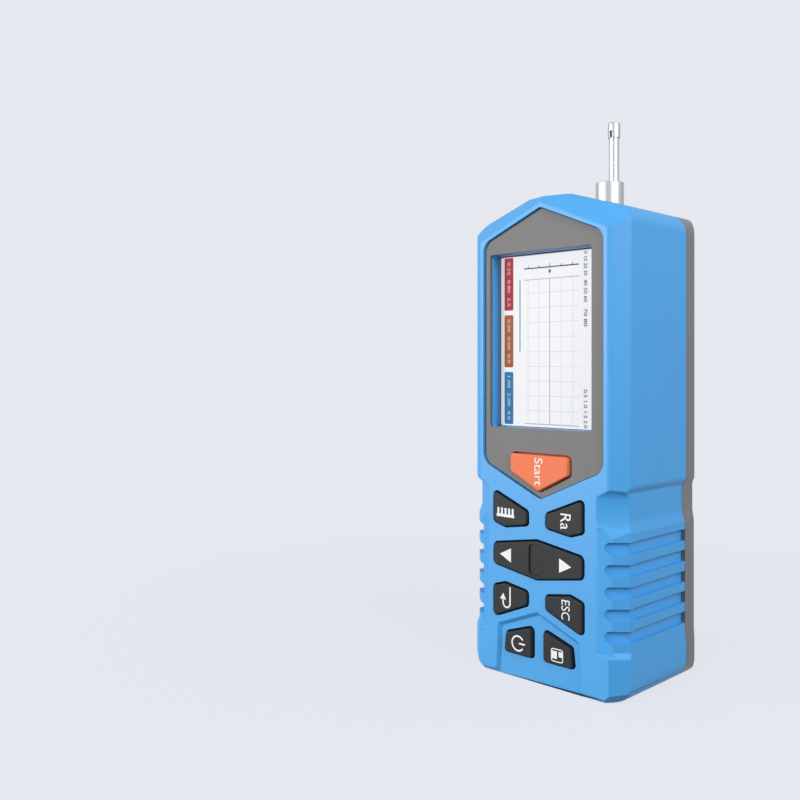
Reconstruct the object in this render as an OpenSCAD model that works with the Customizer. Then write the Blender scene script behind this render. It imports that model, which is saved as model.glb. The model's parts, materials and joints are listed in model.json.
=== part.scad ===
// Handheld surface roughness tester, standing on its foot with the pickup at the top.
// X runs across the front face, Y from the front face to the back cover, Z up. Millimetres.

/* [Case] */
// Width across the sides
body_w = 55; // [54.5:0.5:58]
// Depth from the front face to the back cover
body_d = 42.9; // [42.5:0.1:45]
// Height of the roof ridge
body_h = 143.6; // [143:0.2:146]
// Slope of the roof
roof_angle = 17.2; // [15:0.2:17.8]
// Bevel along the front edges of the sides
front_chamfer = 4.5; // [3.5:0.1:5]
// Bevel along the back edges of the sides and foot
back_chamfer = 3; // [1:0.1:3.4]
// Bevel along the back edge of the roof
roof_back_chamfer = 0.7; // [0.3:0.1:0.8]
// Corner radius where side and roof meet
eave_r = 6; // [3:0.5:7]
// Corner radius of the foot
foot_r = 5.5; // [3:0.5:7]
// Radius over the ridge
ridge_r = 20; // [8:1:22]
// Height of the peak of the flat front face
brow_z = 140.7; // [140.2:0.1:141.3]
// Slope of the top edge of the flat front face
brow_angle = 23.2; // [21:0.2:25]
// Height of the ridge at the front face
crown_z = 142; // [141.6:0.1:142.4]
// Depth over which the ridge rises to its full height
crown_run = 24; // [16:1:30]
// Bevel under the front edge of the foot
toe_chamfer = 1.2; // [0.2:0.1:1.6]
// Cut across the lower corners of the flat front face
toe_corner = 2.4; // [1:0.1:3]

/* [Shell] */
// Thickness of the front wall
front_wall = 3; // [2.8:0.1:3.1]
// Thickness from the widest side face to the hollow
side_wall = 4.5; // [4.2:0.1:4.8]
// Thickness of the roof
roof_wall = 4.4; // [4.2:0.1:4.6]
// Thickness of the floor
floor_t = 3; // [2:0.1:3.2]
// Thickness of the back wall
back_wall = 2.2; // [1.8:0.1:2.3]
// Depth at which the back cover starts
seam_depth = 34.9; // [34.5:0.1:35.6]
// Height of the locating lip of the back cover
lip_h = 1.5; // [0.8:0.1:2]
// Thickness of the locating lip
lip_t = 1; // [0.8:0.1:1.2]
// Clearance around the locating lip
lip_gap = 0.15; // [0.1:0.05:0.3]

/* [Waist and grip] */
// Height at which the full-width upper part starts
shoulder_z = 59.3; // [58.6:0.1:60]
// Upper end of the narrow waist
waist_top = 57.5; // [56.8:0.1:58]
// Lower end of the narrow waist
waist_bottom = 49.6; // [49:0.1:51]
// Upper end of the grip land
grip_top = 46.7; // [46.2:0.1:47.5]
// Lower end of the grip land
grip_bottom = 14.1; // [13.6:0.1:14.6]
// Height at which the full-width foot ends
foot_top = 11.6; // [10.5:0.1:12]
// How far the waist sits in from the side
waist_inset = 1.4; // [1.1:0.1:1.7]
// How far the grip land sits in from the side
grip_inset = 0.4; // [0.2:0.05:0.6]
// How far the bevel moves in across the front face at the waist
waist_cut = 3.9; // [3.4:0.1:4.2]
// Depth at which the bevel of the waist ends
waist_depth = 5.4; // [5:0.1:5.8]
// How far the bevel moves in across the front face at the grip
grip_cut = 1.05; // [0.8:0.05:1.3]
// How far the soft edge of the grip moves in across the front face
ramp_cut = 3.8; // [2.8:0.1:4]
// Depth at which the soft edge of the grip ends
ramp_depth = 1.36; // [1:0.02:1.6]
// Number of finger grooves on each side
groove_count = 5; // [3:1:5]
// Distance from groove to groove
groove_pitch = 6.08; // [5.6:0.02:6.2]
// Height of the middle of the top groove
groove_top = 42.6; // [42:0.1:43.4]
// Width of a groove
groove_h = 3.2; // [2.4:0.1:3.6]
// Depth of a groove in the side
groove_depth = 1.25; // [0.8:0.05:1.6]
// Depth of a groove in the bevel
groove_bevel_depth = 1.25; // [0.8:0.05:1.6]
// Where a groove starts along the bevel
groove_start = 0.5; // [0.3:0.1:2]

/* [Front panel] */
// Half width of the panel
panel_half = 21.05; // [20.8:0.05:21.2]
// Height of the upper corners
panel_top = 129.7; // [129:0.1:130]
// Height of the upper point
panel_peak = 138.5; // [138:0.1:138.8]
// Height of the lower corners
panel_bottom = 63.7; // [63:0.1:65]
// Height of the lower point
panel_point = 54.1; // [53.6:0.1:54.4]
// Corner radius
panel_r = 4; // [1:0.5:5]
// Radius of the two points
panel_point_r = 1.5; // [0.5:0.1:3]
// Depth of the panel face below the front face
panel_recess = 0.9; // [0.2:0.1:1]
// Thickness of the panel
panel_t = 0.8; // [0.7:0.1:1]
// Clearance around the panel
panel_gap = 0.2; // [0.1:0.05:0.2]

/* [Display] */
// Half width of the window
window_half = 18.1; // [17.5:0.1:18.2]
// How far the window sits to the left of the middle
window_shift = 0.6; // [0:0.1:0.7]
// How far the opening in the panel sits to the left of the middle
panel_window_shift = 1.2; // [0.8:0.1:1.4]
// Lower edge of the window
window_bottom = 74.2; // [73.5:0.1:76]
// Upper edge of the window
window_top = 126.3; // [124:0.1:126.6]
// Corner radius of the window
window_r = 0.8; // [0.4:0.1:2]
// Depth of the display face below the front face
screen_depth = 5; // [4.8:0.1:5.2]
// Thickness of the clear lens
lens_t = 0.6; // [0.4:0.1:0.6]
// Thickness of the display module
display_t = 2.6; // [2.4:0.1:2.7]
// How far the display module reaches past the window on each side
display_margin = 0.6; // [0.4:0.1:0.6]

/* [Keys] */
// How far the keys stand out of the front face
key_rise = 0.6; // [0.5:0.1:1.4]
// How far the two keys in the step stand out of the front face
step_key_rise = 0.1; // [0:0.1:0.6]
// How far the start button stands out of the front face
start_rise = 0.4; // [0:0.1:0.8]
// Stroke of a key
key_travel = 0.8; // [0.5:0.1:0.8]
// Clearance of a key in its opening
key_gap = 0.45; // [0.25:0.05:0.5]
// Bevel around the top of a key
key_bevel = 0.3; // [0.3:0.05:0.6]
// Corner radius of a key
key_r = 1; // [0.7:0.1:1.2]
// How far the retaining flange reaches past the key
flange_w = 0.8; // [0.6:0.05:0.85]
// Thickness of the retaining flange
flange_t = 1; // [0.7:0.1:1]
// Gap between flange and front wall
flange_gap = 0.15; // [0.1:0.05:0.15]
// Outer edge of the key columns
key_out = 15.8; // [15.4:0.1:16]
// Inner edge of the key columns
key_in = 3.4; // [2.9:0.1:3.6]
// How far the key field sits to the left of the middle
key_shift = 1; // [0.6:0.1:1.2]
// How far the start button sits to the left of the middle
start_shift = 0.4; // [0:0.1:0.6]
// Middle height of the key field
field_z = 36.2; // [36:0.1:36.4]
// Largest tilt of the arrow rocker
rocker_tilt = 2.5; // [1:0.1:2.5]
// Clearance of the rocker in its opening
rocker_gap = 0.4; // [0.35:0.05:0.5]
// Depth of the finger valley in the rocker
valley_depth = 0.6; // [0.2:0.05:0.7]
// Radius of the rocker pin
pin_r = 0.75; // [0.6:0.05:0.8]

/* [Key step] */
// Half width of the recessed step at the foot
step_half = 15.4; // [15.1:0.1:15.7]
// Half width of the step at its shoulders
step_shoulder_half = 14.5; // [14.2:0.1:14.7]
// Height of the shoulders of the step
step_shoulder = 15.2; // [15:0.1:15.6]
// Height of the point of the step
step_peak = 21.1; // [20.8:0.1:21.4]
// Depth of the step
step_depth = 1; // [0.6:0.1:1.2]
// Run of the sloped edge of the step
step_slope = 1.1; // [0.6:0.1:1.1]

/* [Pickup] */
// Depth of the pickup axis behind the front face
pickup_depth = 37.1; // [36.9:0.1:37.2]
// Radius of the pickup body
pickup_r = 4.4; // [4.2:0.05:4.4]
// Height of the top of the pickup body
pickup_top = 150.8; // [150:0.1:153]
// Offset of the pickup tube towards the back
tube_offset = 2.5; // [2.2:0.1:2.5]
// Radius of the pickup tube
tube_r = 1.6; // [1.4:0.05:1.65]
// Radius of the skid head
skid_r = 1.95; // [1.85:0.05:2.2]
// Height of the lower edge of the skid head
skid_bottom = 165.5; // [164:0.1:166]
// Height of the top of the skid head
skid_top = 170.3; // [169.5:0.1:172]
// Height of the slot in the skid head
slot_h = 2.2; // [1.8:0.1:2.6]
// Width of the slot in the skid head
slot_w = 0.8; // [0.75:0.05:1]
// Stroke of the pickup
pickup_stroke = 17.5; // [10:0.5:17.5]
// Swing of the stylus
stylus_swing = 0.4; // [0.1:0.1:0.4]

/* [Drive] */
// Radius of the lead screw
screw_r = 1.5; // [1.3:0.1:1.6]
// Radius of the guide rods
rod_r = 1.5; // [1.3:0.1:1.6]
// Half distance between the guide rods
rod_x = 11.5; // [10:0.5:12]
// Depth of the guide rods
rod_depth = 27; // [26:0.5:28]
// Depth of the lead screw and motor
motor_depth = 22; // [21.6:0.2:22.4]
// Radius of the gear motor
motor_r = 6; // [5:0.5:6]
// Running clearance on rods, screw and pins
run_gap = 0.04; // [0.02:0.01:0.06]
// Clearance of parts pushed into a hole
push_gap = 0.02; // [0.01:0.01:0.03]

/* [Hidden] */
$fn = 48;
big = 400;
eps = 0.01;

// The whole depth, keys included, is centred on Y = 0
front_y = key_rise - (body_d + key_rise) / 2;
function dy(d) = front_y + d;

half_w = body_w / 2;
flat_half = half_w - front_chamfer;
ridge_z = body_h + ridge_r * (1 / cos(roof_angle) - 1);
eave_z = ridge_z - half_w * tan(roof_angle);
cavity_half = half_w - side_wall;
cavity_ridge = ridge_z - roof_wall / cos(roof_angle);
cavity_eave = cavity_ridge - cavity_half * tan(roof_angle);
groove_floor = half_w - grip_inset - groove_depth;

// Distance of a bevel plane from the Z axis, from where it meets the front face
function bevel_n(x) = (x - front_y) / sqrt(2);
waist_x = flat_half - waist_cut;
waist_angle = atan2(waist_depth, half_w - waist_inset - waist_x);
waist_n = waist_x * sin(waist_angle) - front_y * cos(waist_angle);
grip_n = bevel_n(flat_half - grip_cut);
outer_n = bevel_n(flat_half);
groove_n = grip_n - groove_bevel_depth;
cavity_n = groove_n - 1.9;

panel_floor = panel_recess + panel_t;
board_front = screen_depth + display_t;
board_t = 1.6;
board_back = board_front + board_t;

flange_front = front_wall + flange_gap;
flange_back = flange_front + flange_t;
switch_h = board_front - flange_back - key_travel - 0.15;
switch_top = board_front - switch_h;
post_r = 1.2;
post_end = switch_top + 0.6;
well_r = 1.5;
well_floor = post_end + key_travel + 0.15;
switch_w = 5;

rocker_axis = 4.6;
rocker_under = 3.6;
rocker_post_x = 11;
lug_half = 1.6;
lug_t = 1.6;
lug_low = 29;
lug_high = 2 * field_z - lug_low;

case_boss_r = 2.7;
case_hole_r = 1.3;
case_pilot_r = 1.05;
case_shank_r = 1;
case_head_r = 2.1;
case_seat = body_d - 3;
case_screw_at = [
    [-20, 12], [20, 12], [-20, 66], [20, 66],
    [-10, cavity_ridge - 5.6], [10, cavity_ridge - 5.6]
];
frame_post_r = 1.7;
board_gap = 0.4;
post_x = cavity_half - frame_post_r;
board_half = post_x - frame_post_r - board_gap;
board_narrow = board_half - 2.7;
board_screw_x = board_half - 5.2;
board_screw_at = [[-key_shift, 24.3], [-key_shift, 50.5], [-board_screw_x, 62], [board_screw_x, 62]];
frame_screw_at = [[-post_x, 76], [post_x, 76], [-post_x, 121], [post_x, 121]];

frame_front = 13;
frame_half = 16;
frame_t = 2;
plate_t = 3;
frame_bottom = 70;
frame_top = 127;
motor_plate_z = 55.5;
motor_plate_t = 2.5;
motor_len = 22;
motor_screw_x = 4;
shaft_top = 63.2;
coupling_low = 59.4;
coupling_step = 63.7;
coupling_r = 2.3;
screw_low = 64.2;
bush_r = 3;
battery_half = 16.4;
battery_back = 28;
battery_top = 31;
battery_edge = 3;
carriage_z = 100;
carriage_h = 12;
carriage_half = rod_x + 3.5;
limit_from = carriage_half + 1.4;
limit_wide = cavity_half - 2.6 - limit_from;
limit_size = [5, 6];
carriage_top = carriage_z + carriage_h;
plug_r = 2.8;
socket_r = 3.6;
pickup_bore = 3.5;
pickup_cap = 3;
tube_bore = 1.15;
tube_depth = pickup_depth + tube_offset;
pivot_z = 143;
tip_z = skid_bottom + slot_h / 2;
channel_r = pickup_r + 0.3;
usb_half = 4.45;
usb_t = 3.2;
usb_wall = 0.35;
ring_r = 5;

// Turned outlines: each point is [x, z, corner radius], given counter-clockwise

// Unit vector from one point to another
function unit(a, b) = (b - a) / norm(b - a);

// Point of an outline without its radius, counted round the ends
function corner(pts, i) = let(p = pts[(i + len(pts)) % len(pts)]) [p[0], p[1]];

// Outward normal of the edge from one point to the next
function outward(a, b) = let(u = unit(a, b)) [u[1], -u[0]];

// The same outline moved out by a distance on every side
function grown(pts, g) = [
    for (i = [0 : len(pts) - 1])
        let(
            q = corner(pts, i),
            m = outward(corner(pts, i - 1), q),
            n = outward(q, corner(pts, i + 1)),
            v = q + (m + n) * g / (1 + m * n)
        )
        [v[0], v[1], max(pts[i][2] + g, 0.05)]
];

// Draws an outline with its corners turned to true arcs
module outline(pts) {
    for (i = [0 : len(pts) - 1]) {
        q = corner(pts, i);
        a = unit(q, corner(pts, i - 1));
        b = unit(q, corner(pts, i + 1));
        h = acos(a * b) / 2;
        r = pts[i][2];
        if (r > 0) translate(q + unit([0, 0], a + b) * r / sin(h)) circle(r = r);
    }
    polygon([
        for (i = [0 : len(pts) - 1])
            let(
                q = corner(pts, i),
                a = unit(q, corner(pts, i - 1)),
                b = unit(q, corner(pts, i + 1)),
                l = pts[i][2] / tan(acos(a * b) / 2)
            )
            each (l > 0 ? [q + a * l, q + b * l] : [q])
    ]);
}

// Prism along X of a drawing in Y and Z
module prism_x(x0, x1) {
    translate([x0, 0, 0]) rotate([90, 0, 90]) linear_extrude(x1 - x0) children();
}

// Prism along Y of a drawing in X and Z
module prism_y(y0, y1) {
    translate([0, y1, 0]) rotate([90, 0, 0]) linear_extrude(y1 - y0) children();
}

// Prism along Z of a drawing in X and Y
module prism_z(z0, z1) {
    translate([0, 0, z0]) linear_extrude(z1 - z0) children();
}

// Prism between two depths behind the front face
module slab(d0, d1) {
    prism_y(dy(d0), dy(d1)) children();
}

// Box by depth: half width, two depths, two heights
module box(half, d0, d1, z0, z1) {
    translate([-half, dy(d0), z0]) cube([2 * half, d1 - d0, z1 - z0]);
}

// Round bar along the depth at [x, z]
module bar_y(at, r, d0, d1) {
    translate([at[0], dy(d1), at[1]]) rotate([90, 0, 0]) cylinder(r = r, h = d1 - d0);
}

// Round bar along Z at [x, depth]
module bar_z(at, r, z0, z1) {
    translate([at[0], dy(at[1]), z0]) cylinder(r = r, h = z1 - z0);
}

// Draws on the right, or mirrored on the left
module on_side(s) {
    if (s > 0) children();
    else mirror([1, 0, 0]) children();
}

// Front view of the case with waist, grip and foot
side_points = [
    [half_w, 0, foot_r],
    [half_w, foot_top, 0],
    [half_w - grip_inset, grip_bottom, 0],
    [half_w - grip_inset, grip_top, 0],
    [half_w - waist_inset, waist_bottom, 0],
    [half_w - waist_inset, waist_top, 0],
    [half_w, shoulder_z, 0],
    [half_w, eave_z, eave_r]
];
case_points = concat(
    side_points,
    [[0, ridge_z, ridge_r]],
    [for (i = [len(side_points) - 1 : -1 : 0]) [-side_points[i][0], side_points[i][1], side_points[i][2]]]
);

// Plan of the case with its four upright bevels
module plan() {
    polygon([
        [-flat_half, dy(0)], [flat_half, dy(0)],
        [half_w, dy(front_chamfer)], [half_w, dy(body_d - back_chamfer)],
        [half_w - back_chamfer, dy(body_d)], [back_chamfer - half_w, dy(body_d)],
        [-half_w, dy(body_d - back_chamfer)], [-half_w, dy(front_chamfer)]
    ]);
}

// Side view of the case with the bevels under the foot and the rising ridge
module side_view() {
    crown_slope = (body_h - crown_z) / crown_run;
    polygon([
        [dy(0), toe_chamfer], [dy(toe_chamfer), 0],
        [dy(body_d - back_chamfer), 0], [dy(body_d), back_chamfer],
        [dy(body_d), body_h + 1], [dy(crown_run) + 1 / crown_slope, body_h + 1],
        [dy(0), crown_z]
    ]);
}

// Everything under the sloped front edge of one half of the roof
module brow_limit(s) {
    on_side(s) translate([0, 0, brow_z]) rotate([0, brow_angle, 0]) prism_x(-big, big)
        polygon([
            [dy(0) - 1, -big], [dy(0) - 1, -1],
            [dy(30), 30], [dy(body_d) + 1, 30], [dy(body_d) + 1, -big]
        ]);
}

// Everything under the bevelled back edge of one half of the roof
module back_limit(s) {
    on_side(s) translate([0, 0, ridge_z]) rotate([0, roof_angle, 0]) prism_x(-big, big)
        polygon([
            [dy(0) - 1, -big], [dy(0) - 1, 5],
            [dy(body_d - roof_back_chamfer) - 5, 5], [dy(body_d) + 5, -roof_back_chamfer - 5],
            [dy(body_d) + 5, -big]
        ]);
}

// Everything inside the front bevel of one side along grip and foot
module grip_limit(s) {
    out = outer_n + 1;
    fall = (grip_bottom - foot_top) / 1.2;
    on_side(s) rotate([0, 0, -45]) prism_y(-big, big)
        polygon([
            [-big, -big], [out, -big],
            [out, grip_bottom - (out - grip_n) * fall], [grip_n, grip_bottom],
            [grip_n, waist_bottom + 2], [out, waist_bottom + 2],
            [out, big], [-big, big]
        ]);
}

// Everything inside the flatter bevel of one side along the waist
module waist_limit(s) {
    out = waist_n + 8;
    rise = (shoulder_z - waist_top) / 2;
    fall = (waist_bottom - grip_top) / (waist_inset - grip_inset);
    on_side(s) rotate([0, 0, waist_angle - 90]) prism_y(-big, big)
        polygon([
            [-big, -big], [out, -big],
            [out, waist_bottom - (out - waist_n) * fall], [waist_n, waist_bottom],
            [waist_n, waist_top - 1], [out, waist_top - 1 + (out - waist_n) * rise],
            [out, big], [-big, big]
        ]);
}

// Everything above the cut across one lower corner of the front face
module toe_limit(s) {
    reach = foot_r * (sqrt(2) - 1) / sqrt(2);
    e0 = (flat_half - toe_corner) / sqrt(2);
    e1 = (half_w - 2 * reach) / sqrt(2);
    k = (e1 - e0) / front_chamfer;
    on_side(s) rotate([0, 135, 0]) prism_x(-big, big)
        polygon([
            [dy(-1), -big], [dy(-1), e0 - k], [dy(30), e0 + 30 * k],
            [dy(body_d) + 1, e0 + 30 * k], [dy(body_d) + 1, -big]
        ]);
}

// Wedge that softens the front edge of one grip
module grip_ramp(s) {
    x0 = flat_half - ramp_cut;
    x1 = flat_half - grip_cut + ramp_depth;
    k = (x1 - x0) / ramp_depth;
    on_side(s) prism_z(grip_bottom - 1, grip_top + 1)
        polygon([
            [x0 - k, dy(-1)], [x1 + k, dy(-1)], [x1 + k, dy(ramp_depth + 1)]
        ]);
}

// Cutters of the finger grooves of one side, round at their front end
module grooves(s) {
    on_side(s) for (i = [0 : groove_count - 1]) {
        z = groove_top - i * groove_pitch;
        rotate([0, 0, -45]) prism_x(groove_n, groove_n + 8) {
            translate([groove_start + groove_h / 2, z]) circle(d = groove_h);
            translate([groove_start + groove_h / 2, z - groove_h / 2]) square([12, groove_h]);
        }
        translate([groove_floor, dy(groove_floor - sqrt(2) * groove_n - front_y), z - groove_h / 2])
            cube([10, seam_depth, groove_h]);
    }
}

// Whole outer form of the case, before it is split
module case_form() {
    difference() {
        intersection() {
            slab(0, body_d) outline(case_points);
            prism_z(-1, body_h + 2) plan();
            prism_x(-body_w, body_w) side_view();
            brow_limit(1);
            brow_limit(-1);
            back_limit(1);
            back_limit(-1);
            grip_limit(1);
            grip_limit(-1);
            waist_limit(1);
            waist_limit(-1);
            toe_limit(1);
            toe_limit(-1);
        }
        grip_ramp(1);
        grip_ramp(-1);
    }
}

// Front view of the hollow, drawn smaller by a gap
module hollow_view(g) {
    x = cavity_half - g;
    polygon([
        [-x, floor_t + g], [x, floor_t + g], [x, cavity_eave - g],
        [0, cavity_ridge - g], [-x, cavity_eave - g]
    ]);
}

// The hollow of both shells
module hollow() {
    f = sqrt(2) * cavity_n;
    intersection() {
        slab(front_wall, body_d - back_wall) hollow_view(0);
        prism_z(0, body_h)
            polygon([
                [-(f + dy(front_wall)), dy(front_wall)], [f + dy(front_wall), dy(front_wall)],
                [cavity_half, cavity_half - f], [cavity_half, dy(body_d)],
                [-cavity_half, dy(body_d)], [-cavity_half, cavity_half - f]
            ]);
    }
}

panel_points = [
    [-panel_half, panel_bottom, panel_r], [0, panel_point, panel_point_r],
    [panel_half, panel_bottom, panel_r], [panel_half, panel_top, panel_r],
    [0, panel_peak, panel_point_r], [-panel_half, panel_top, panel_r]
];
window_points = [
    [-window_half - window_shift, window_bottom, window_r],
    [window_half - window_shift, window_bottom, window_r],
    [window_half - window_shift, window_top, window_r],
    [-window_half - window_shift, window_top, window_r]
];
panel_window_points = [
    for (at = window_points) [at[0] + window_shift - panel_window_shift, at[1], window_r]
];
start_points = [
    [-10.2 - start_shift, 61.5, key_r], [-start_shift, 56.2, key_r], [10.2 - start_shift, 61.5, key_r],
    [10.2 - start_shift, 66.7, key_r], [-10.2 - start_shift, 66.7, key_r]
];

// The same outline on the other side of the middle of the key field
function across(pts) = [
    for (i = [len(pts) - 1 : -1 : 0]) [-2 * key_shift - pts[i][0], pts[i][1], pts[i][2]]
];
function post_across(at) = [-2 * key_shift - at[0], at[1]];

left_out = -key_shift - key_out;
left_in = -key_shift - key_in;
upper_points = [
    [left_out, field_z + 9.8, key_r], [-11.6 - key_shift, field_z + 8.5, key_r],
    [left_in, field_z + 9.8, key_r], [left_in, field_z + 13.7, key_r], [left_out, field_z + 18.9, key_r]
];
lower_points = [
    for (i = [4 : -1 : 0]) [upper_points[i][0], 2 * field_z - upper_points[i][1], key_r]
];
rocker_points = [
    [left_out, field_z - 3, 1.5], [-key_shift, field_z - 5.6, 3],
    [key_out - key_shift, field_z - 3, 1.5], [key_out - key_shift, field_z + 3, 1.5],
    [-key_shift, field_z + 5.6, 3], [left_out, field_z + 3, 1.5]
];
step_key_points = [
    [-13.2, 7.2, key_r], [-3.1, 7.2, key_r], [-3.1, 16.1, key_r], [-12.6, 12.9, key_r]
];
upper_post = [-9.5 - key_shift, field_z + 12.2];
lower_post = [-9.5 - key_shift, field_z - 12.2];
step_post = [-7.8, 10.6];
start_post = [-start_shift, 62.2];
rocker_post_at = [[-rocker_post_x - key_shift, field_z], [rocker_post_x - key_shift, field_z]];
switch_at = [
    start_post, upper_post, post_across(upper_post), lower_post, post_across(lower_post),
    step_post, post_across(step_post), rocker_post_at[0], rocker_post_at[1]
];

// Recess at the foot with sloped edges
module key_step() {
    inner = step_half - step_slope;
    inner_shoulder = step_shoulder_half - step_slope;
    hull() {
        slab(-eps, 0) polygon([
            [-step_half, -2], [step_half, -2], [step_shoulder_half, step_shoulder],
            [0, step_peak], [-step_shoulder_half, step_shoulder]
        ]);
        slab(step_depth - eps, step_depth) polygon([
            [-inner, -2], [inner, -2], [inner_shoulder, step_shoulder - step_slope * 0.6],
            [0, step_peak - step_slope], [-inner_shoulder, step_shoulder - step_slope * 0.6]
        ]);
    }
}

// Openings in the front wall for window, button and keys
module front_openings() {
    slab(-1, screen_depth + 1) outline(window_points);
    slab(-1, front_wall + 1) {
        outline(grown(start_points, key_gap));
        outline(grown(upper_points, key_gap));
        outline(grown(across(upper_points), key_gap));
        outline(grown(lower_points, key_gap));
        outline(grown(across(lower_points), key_gap));
        outline(grown(step_key_points, key_gap));
        outline(grown(across(step_key_points), key_gap));
        outline(grown(rocker_points, rocker_gap));
    }
}

// Front shell with window frame, screw posts and rocker lugs
module front_housing() {
    color("#5FAEEA") difference() {
        union() {
            difference() {
                intersection() {
                    case_form();
                    slab(-1, seam_depth) square(2 * big, center = true);
                }
                hollow();
            }
            intersection() {
                hollow();
                union() {
                    slab(front_wall - 1, screen_depth)
                        outline(grown(window_points, display_margin + 2));
                    for (at = case_screw_at) bar_y(at, case_boss_r, front_wall - 1, seam_depth);
                    for (at = frame_screw_at) bar_y(at, frame_post_r, front_wall - 1, frame_front);
                    for (at = board_screw_at) bar_y(at, 1.7, front_wall - 1, board_front);
                    translate([-key_shift, 0, 0]) {
                        box(lug_half, front_wall - 1, rocker_axis + 1.4, lug_low - lug_t, lug_low);
                        box(lug_half, front_wall - 1, rocker_axis + 1.4, lug_high, lug_high + lug_t);
                    }
                }
            }
        }
        slab(-1, panel_floor) outline(grown(panel_points, panel_gap));
        translate([-key_shift, 0, 0]) key_step();
        front_openings();
        grooves(1);
        grooves(-1);
        for (at = case_screw_at) bar_y(at, case_pilot_r, seam_depth - 12, seam_depth + 1);
        for (at = frame_screw_at) bar_y(at, 0.75, frame_front - 6, frame_front + 1);
        for (at = board_screw_at) bar_y(at, 0.85, front_wall + 0.6, board_front + 1);
        bar_z([-key_shift, rocker_axis], pin_r + push_gap, lug_low - lug_t - 1, lug_high + lug_t + 1);
        bar_z([0, pickup_depth], ring_r + push_gap, cavity_ridge - 6, body_h + 2);
        box(usb_half + 0.3, board_back - 0.3, board_back + usb_t + 0.3, -1, floor_t + 1);
    }
}

// Back cover with locating lip, screw sleeves and channel for the pickup
module rear_cover() {
    color("#8E9193") difference() {
        union() {
            difference() {
                intersection() {
                    case_form();
                    slab(seam_depth, body_d + 1) square(2 * big, center = true);
                }
                hollow();
            }
            intersection() {
                hollow();
                for (at = case_screw_at) bar_y(at, case_boss_r, seam_depth, body_d - back_wall + 1);
            }
            difference() {
                union() {
                    slab(seam_depth - lip_h, seam_depth + eps) hollow_view(lip_gap);
                    slab(seam_depth, seam_depth + lip_h) hollow_view(-eps);
                }
                slab(seam_depth - lip_h - 1, seam_depth + lip_h + 1) hollow_view(lip_gap + lip_t);
                for (at = case_screw_at)
                    bar_y(at, case_boss_r + 0.3, seam_depth - lip_h - 1, seam_depth);
            }
        }
        for (at = case_screw_at) {
            bar_y(at, case_hole_r, seam_depth - 1, body_d + 1);
            bar_y(at, case_head_r + 0.2, case_seat, body_d + 1);
        }
        bar_z([0, pickup_depth], channel_r, carriage_z - pickup_stroke - 3, body_h + 2);
        bar_z([0, pickup_depth], ring_r + push_gap, cavity_ridge - 6, body_h + 2);
    }
}

// Screen surround set into the front face
module front_panel() {
    color("#888686") difference() {
        slab(panel_recess, panel_floor) outline(panel_points);
        slab(panel_recess - 1, panel_floor + 1) {
            outline(panel_window_points);
            outline(grown(start_points, key_gap));
        }
    }
}

// Clear lens in front of the display
module display_lens() {
    color("#DDE6EA") slab(screen_depth - lens_t, screen_depth) outline(grown(window_points, -0.15));
}

// Display module with a thin metal rim behind the window frame
module display_module() {
    color("#F4F5F7") difference() {
        slab(screen_depth, board_front) outline(grown(window_points, display_margin));
        for (z = [window_bottom + 4, window_top - 12])
            box(6, board_front - 0.8, board_front + 1, z, z + 8);
    }
}

// Cap of a key with bevelled rim, flange and plunger
module key_piece(pts, rise, post) {
    hull() {
        slab(-rise, -rise + eps) outline(grown(pts, -key_bevel), $fn = 24);
        slab(key_bevel - rise, flange_front + eps) outline(pts, $fn = 24);
    }
    slab(flange_front, flange_back) outline(grown(pts, flange_w));
    bar_y(post, post_r, flange_back - eps, post_end);
}

// Long measuring-start button inside the panel
module start_button() {
    color("#F8875C") key_piece(start_points, start_rise, start_post);
}

// Upper left key
module ruler_key() {
    color("#404040") key_piece(upper_points, key_rise, upper_post);
}

// Upper right key
module parameter_key() {
    color("#404040") key_piece(across(upper_points), key_rise, post_across(upper_post));
}

// Lower left key
module enter_key() {
    color("#404040") key_piece(lower_points, key_rise, lower_post);
}

// Lower right key
module escape_key() {
    color("#404040") key_piece(across(lower_points), key_rise, post_across(lower_post));
}

// Left key in the step
module power_key() {
    color("#404040") key_piece(step_key_points, step_key_rise, step_post);
}

// Right key in the step
module save_key() {
    color("#404040") key_piece(across(step_key_points), step_key_rise, post_across(step_post));
}

// Two-way rocker with a finger valley, on an upright pin
module arrow_rocker() {
    valley = [
        [-2.6 - key_shift, field_z - 4.4, 1.2], [2.6 - key_shift, field_z - 4.4, 1.2],
        [2.6 - key_shift, field_z + 4.4, 1.2], [-2.6 - key_shift, field_z + 4.4, 1.2]
    ];
    color("#404040") difference() {
        union() {
            hull() {
                slab(-key_rise, -key_rise + eps) outline(grown(rocker_points, -key_bevel), $fn = 24);
                slab(key_bevel - key_rise, rocker_under) outline(rocker_points, $fn = 24);
            }
            bar_z([-key_shift, rocker_axis], 1.5, field_z - 5.4, field_z + 5.4);
            for (at = rocker_post_at) bar_y(at, post_r, rocker_under - eps, post_end);
        }
        slab(-key_rise - 1, valley_depth - key_rise) outline(valley);
        bar_z([-key_shift, rocker_axis], pin_r + run_gap, 0, body_h);
    }
}

// Steel pin of the rocker
module rocker_pin() {
    color("#B9BCC0") bar_z([-key_shift, rocker_axis], pin_r, lug_low - lug_t, lug_high + lug_t);
}

// Circuit board, narrow behind the keys and wide behind the display
module main_board() {
    low = 5;
    step = 69;
    high = window_top + 3;
    color("#2E6B45") difference() {
        slab(board_front, board_back)
            polygon([
                [-board_narrow, low], [board_narrow, low], [board_narrow, step], [board_half, step],
                [board_half, high], [-board_half, high], [-board_half, step], [-board_narrow, step]
            ]);
        for (at = board_screw_at) bar_y(at, 1.1, board_front - 1, board_back + 1);
    }
}

// Push switches under the keys, each with a round well for the plunger
module key_switches() {
    color("#2B2B2D") for (at = switch_at) difference() {
        translate([at[0] - switch_w / 2, dy(switch_top), at[1] - switch_w / 2])
            cube([switch_w, switch_h, switch_w]);
        bar_y(at, well_r, switch_top - 1, well_floor);
    }
}

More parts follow.
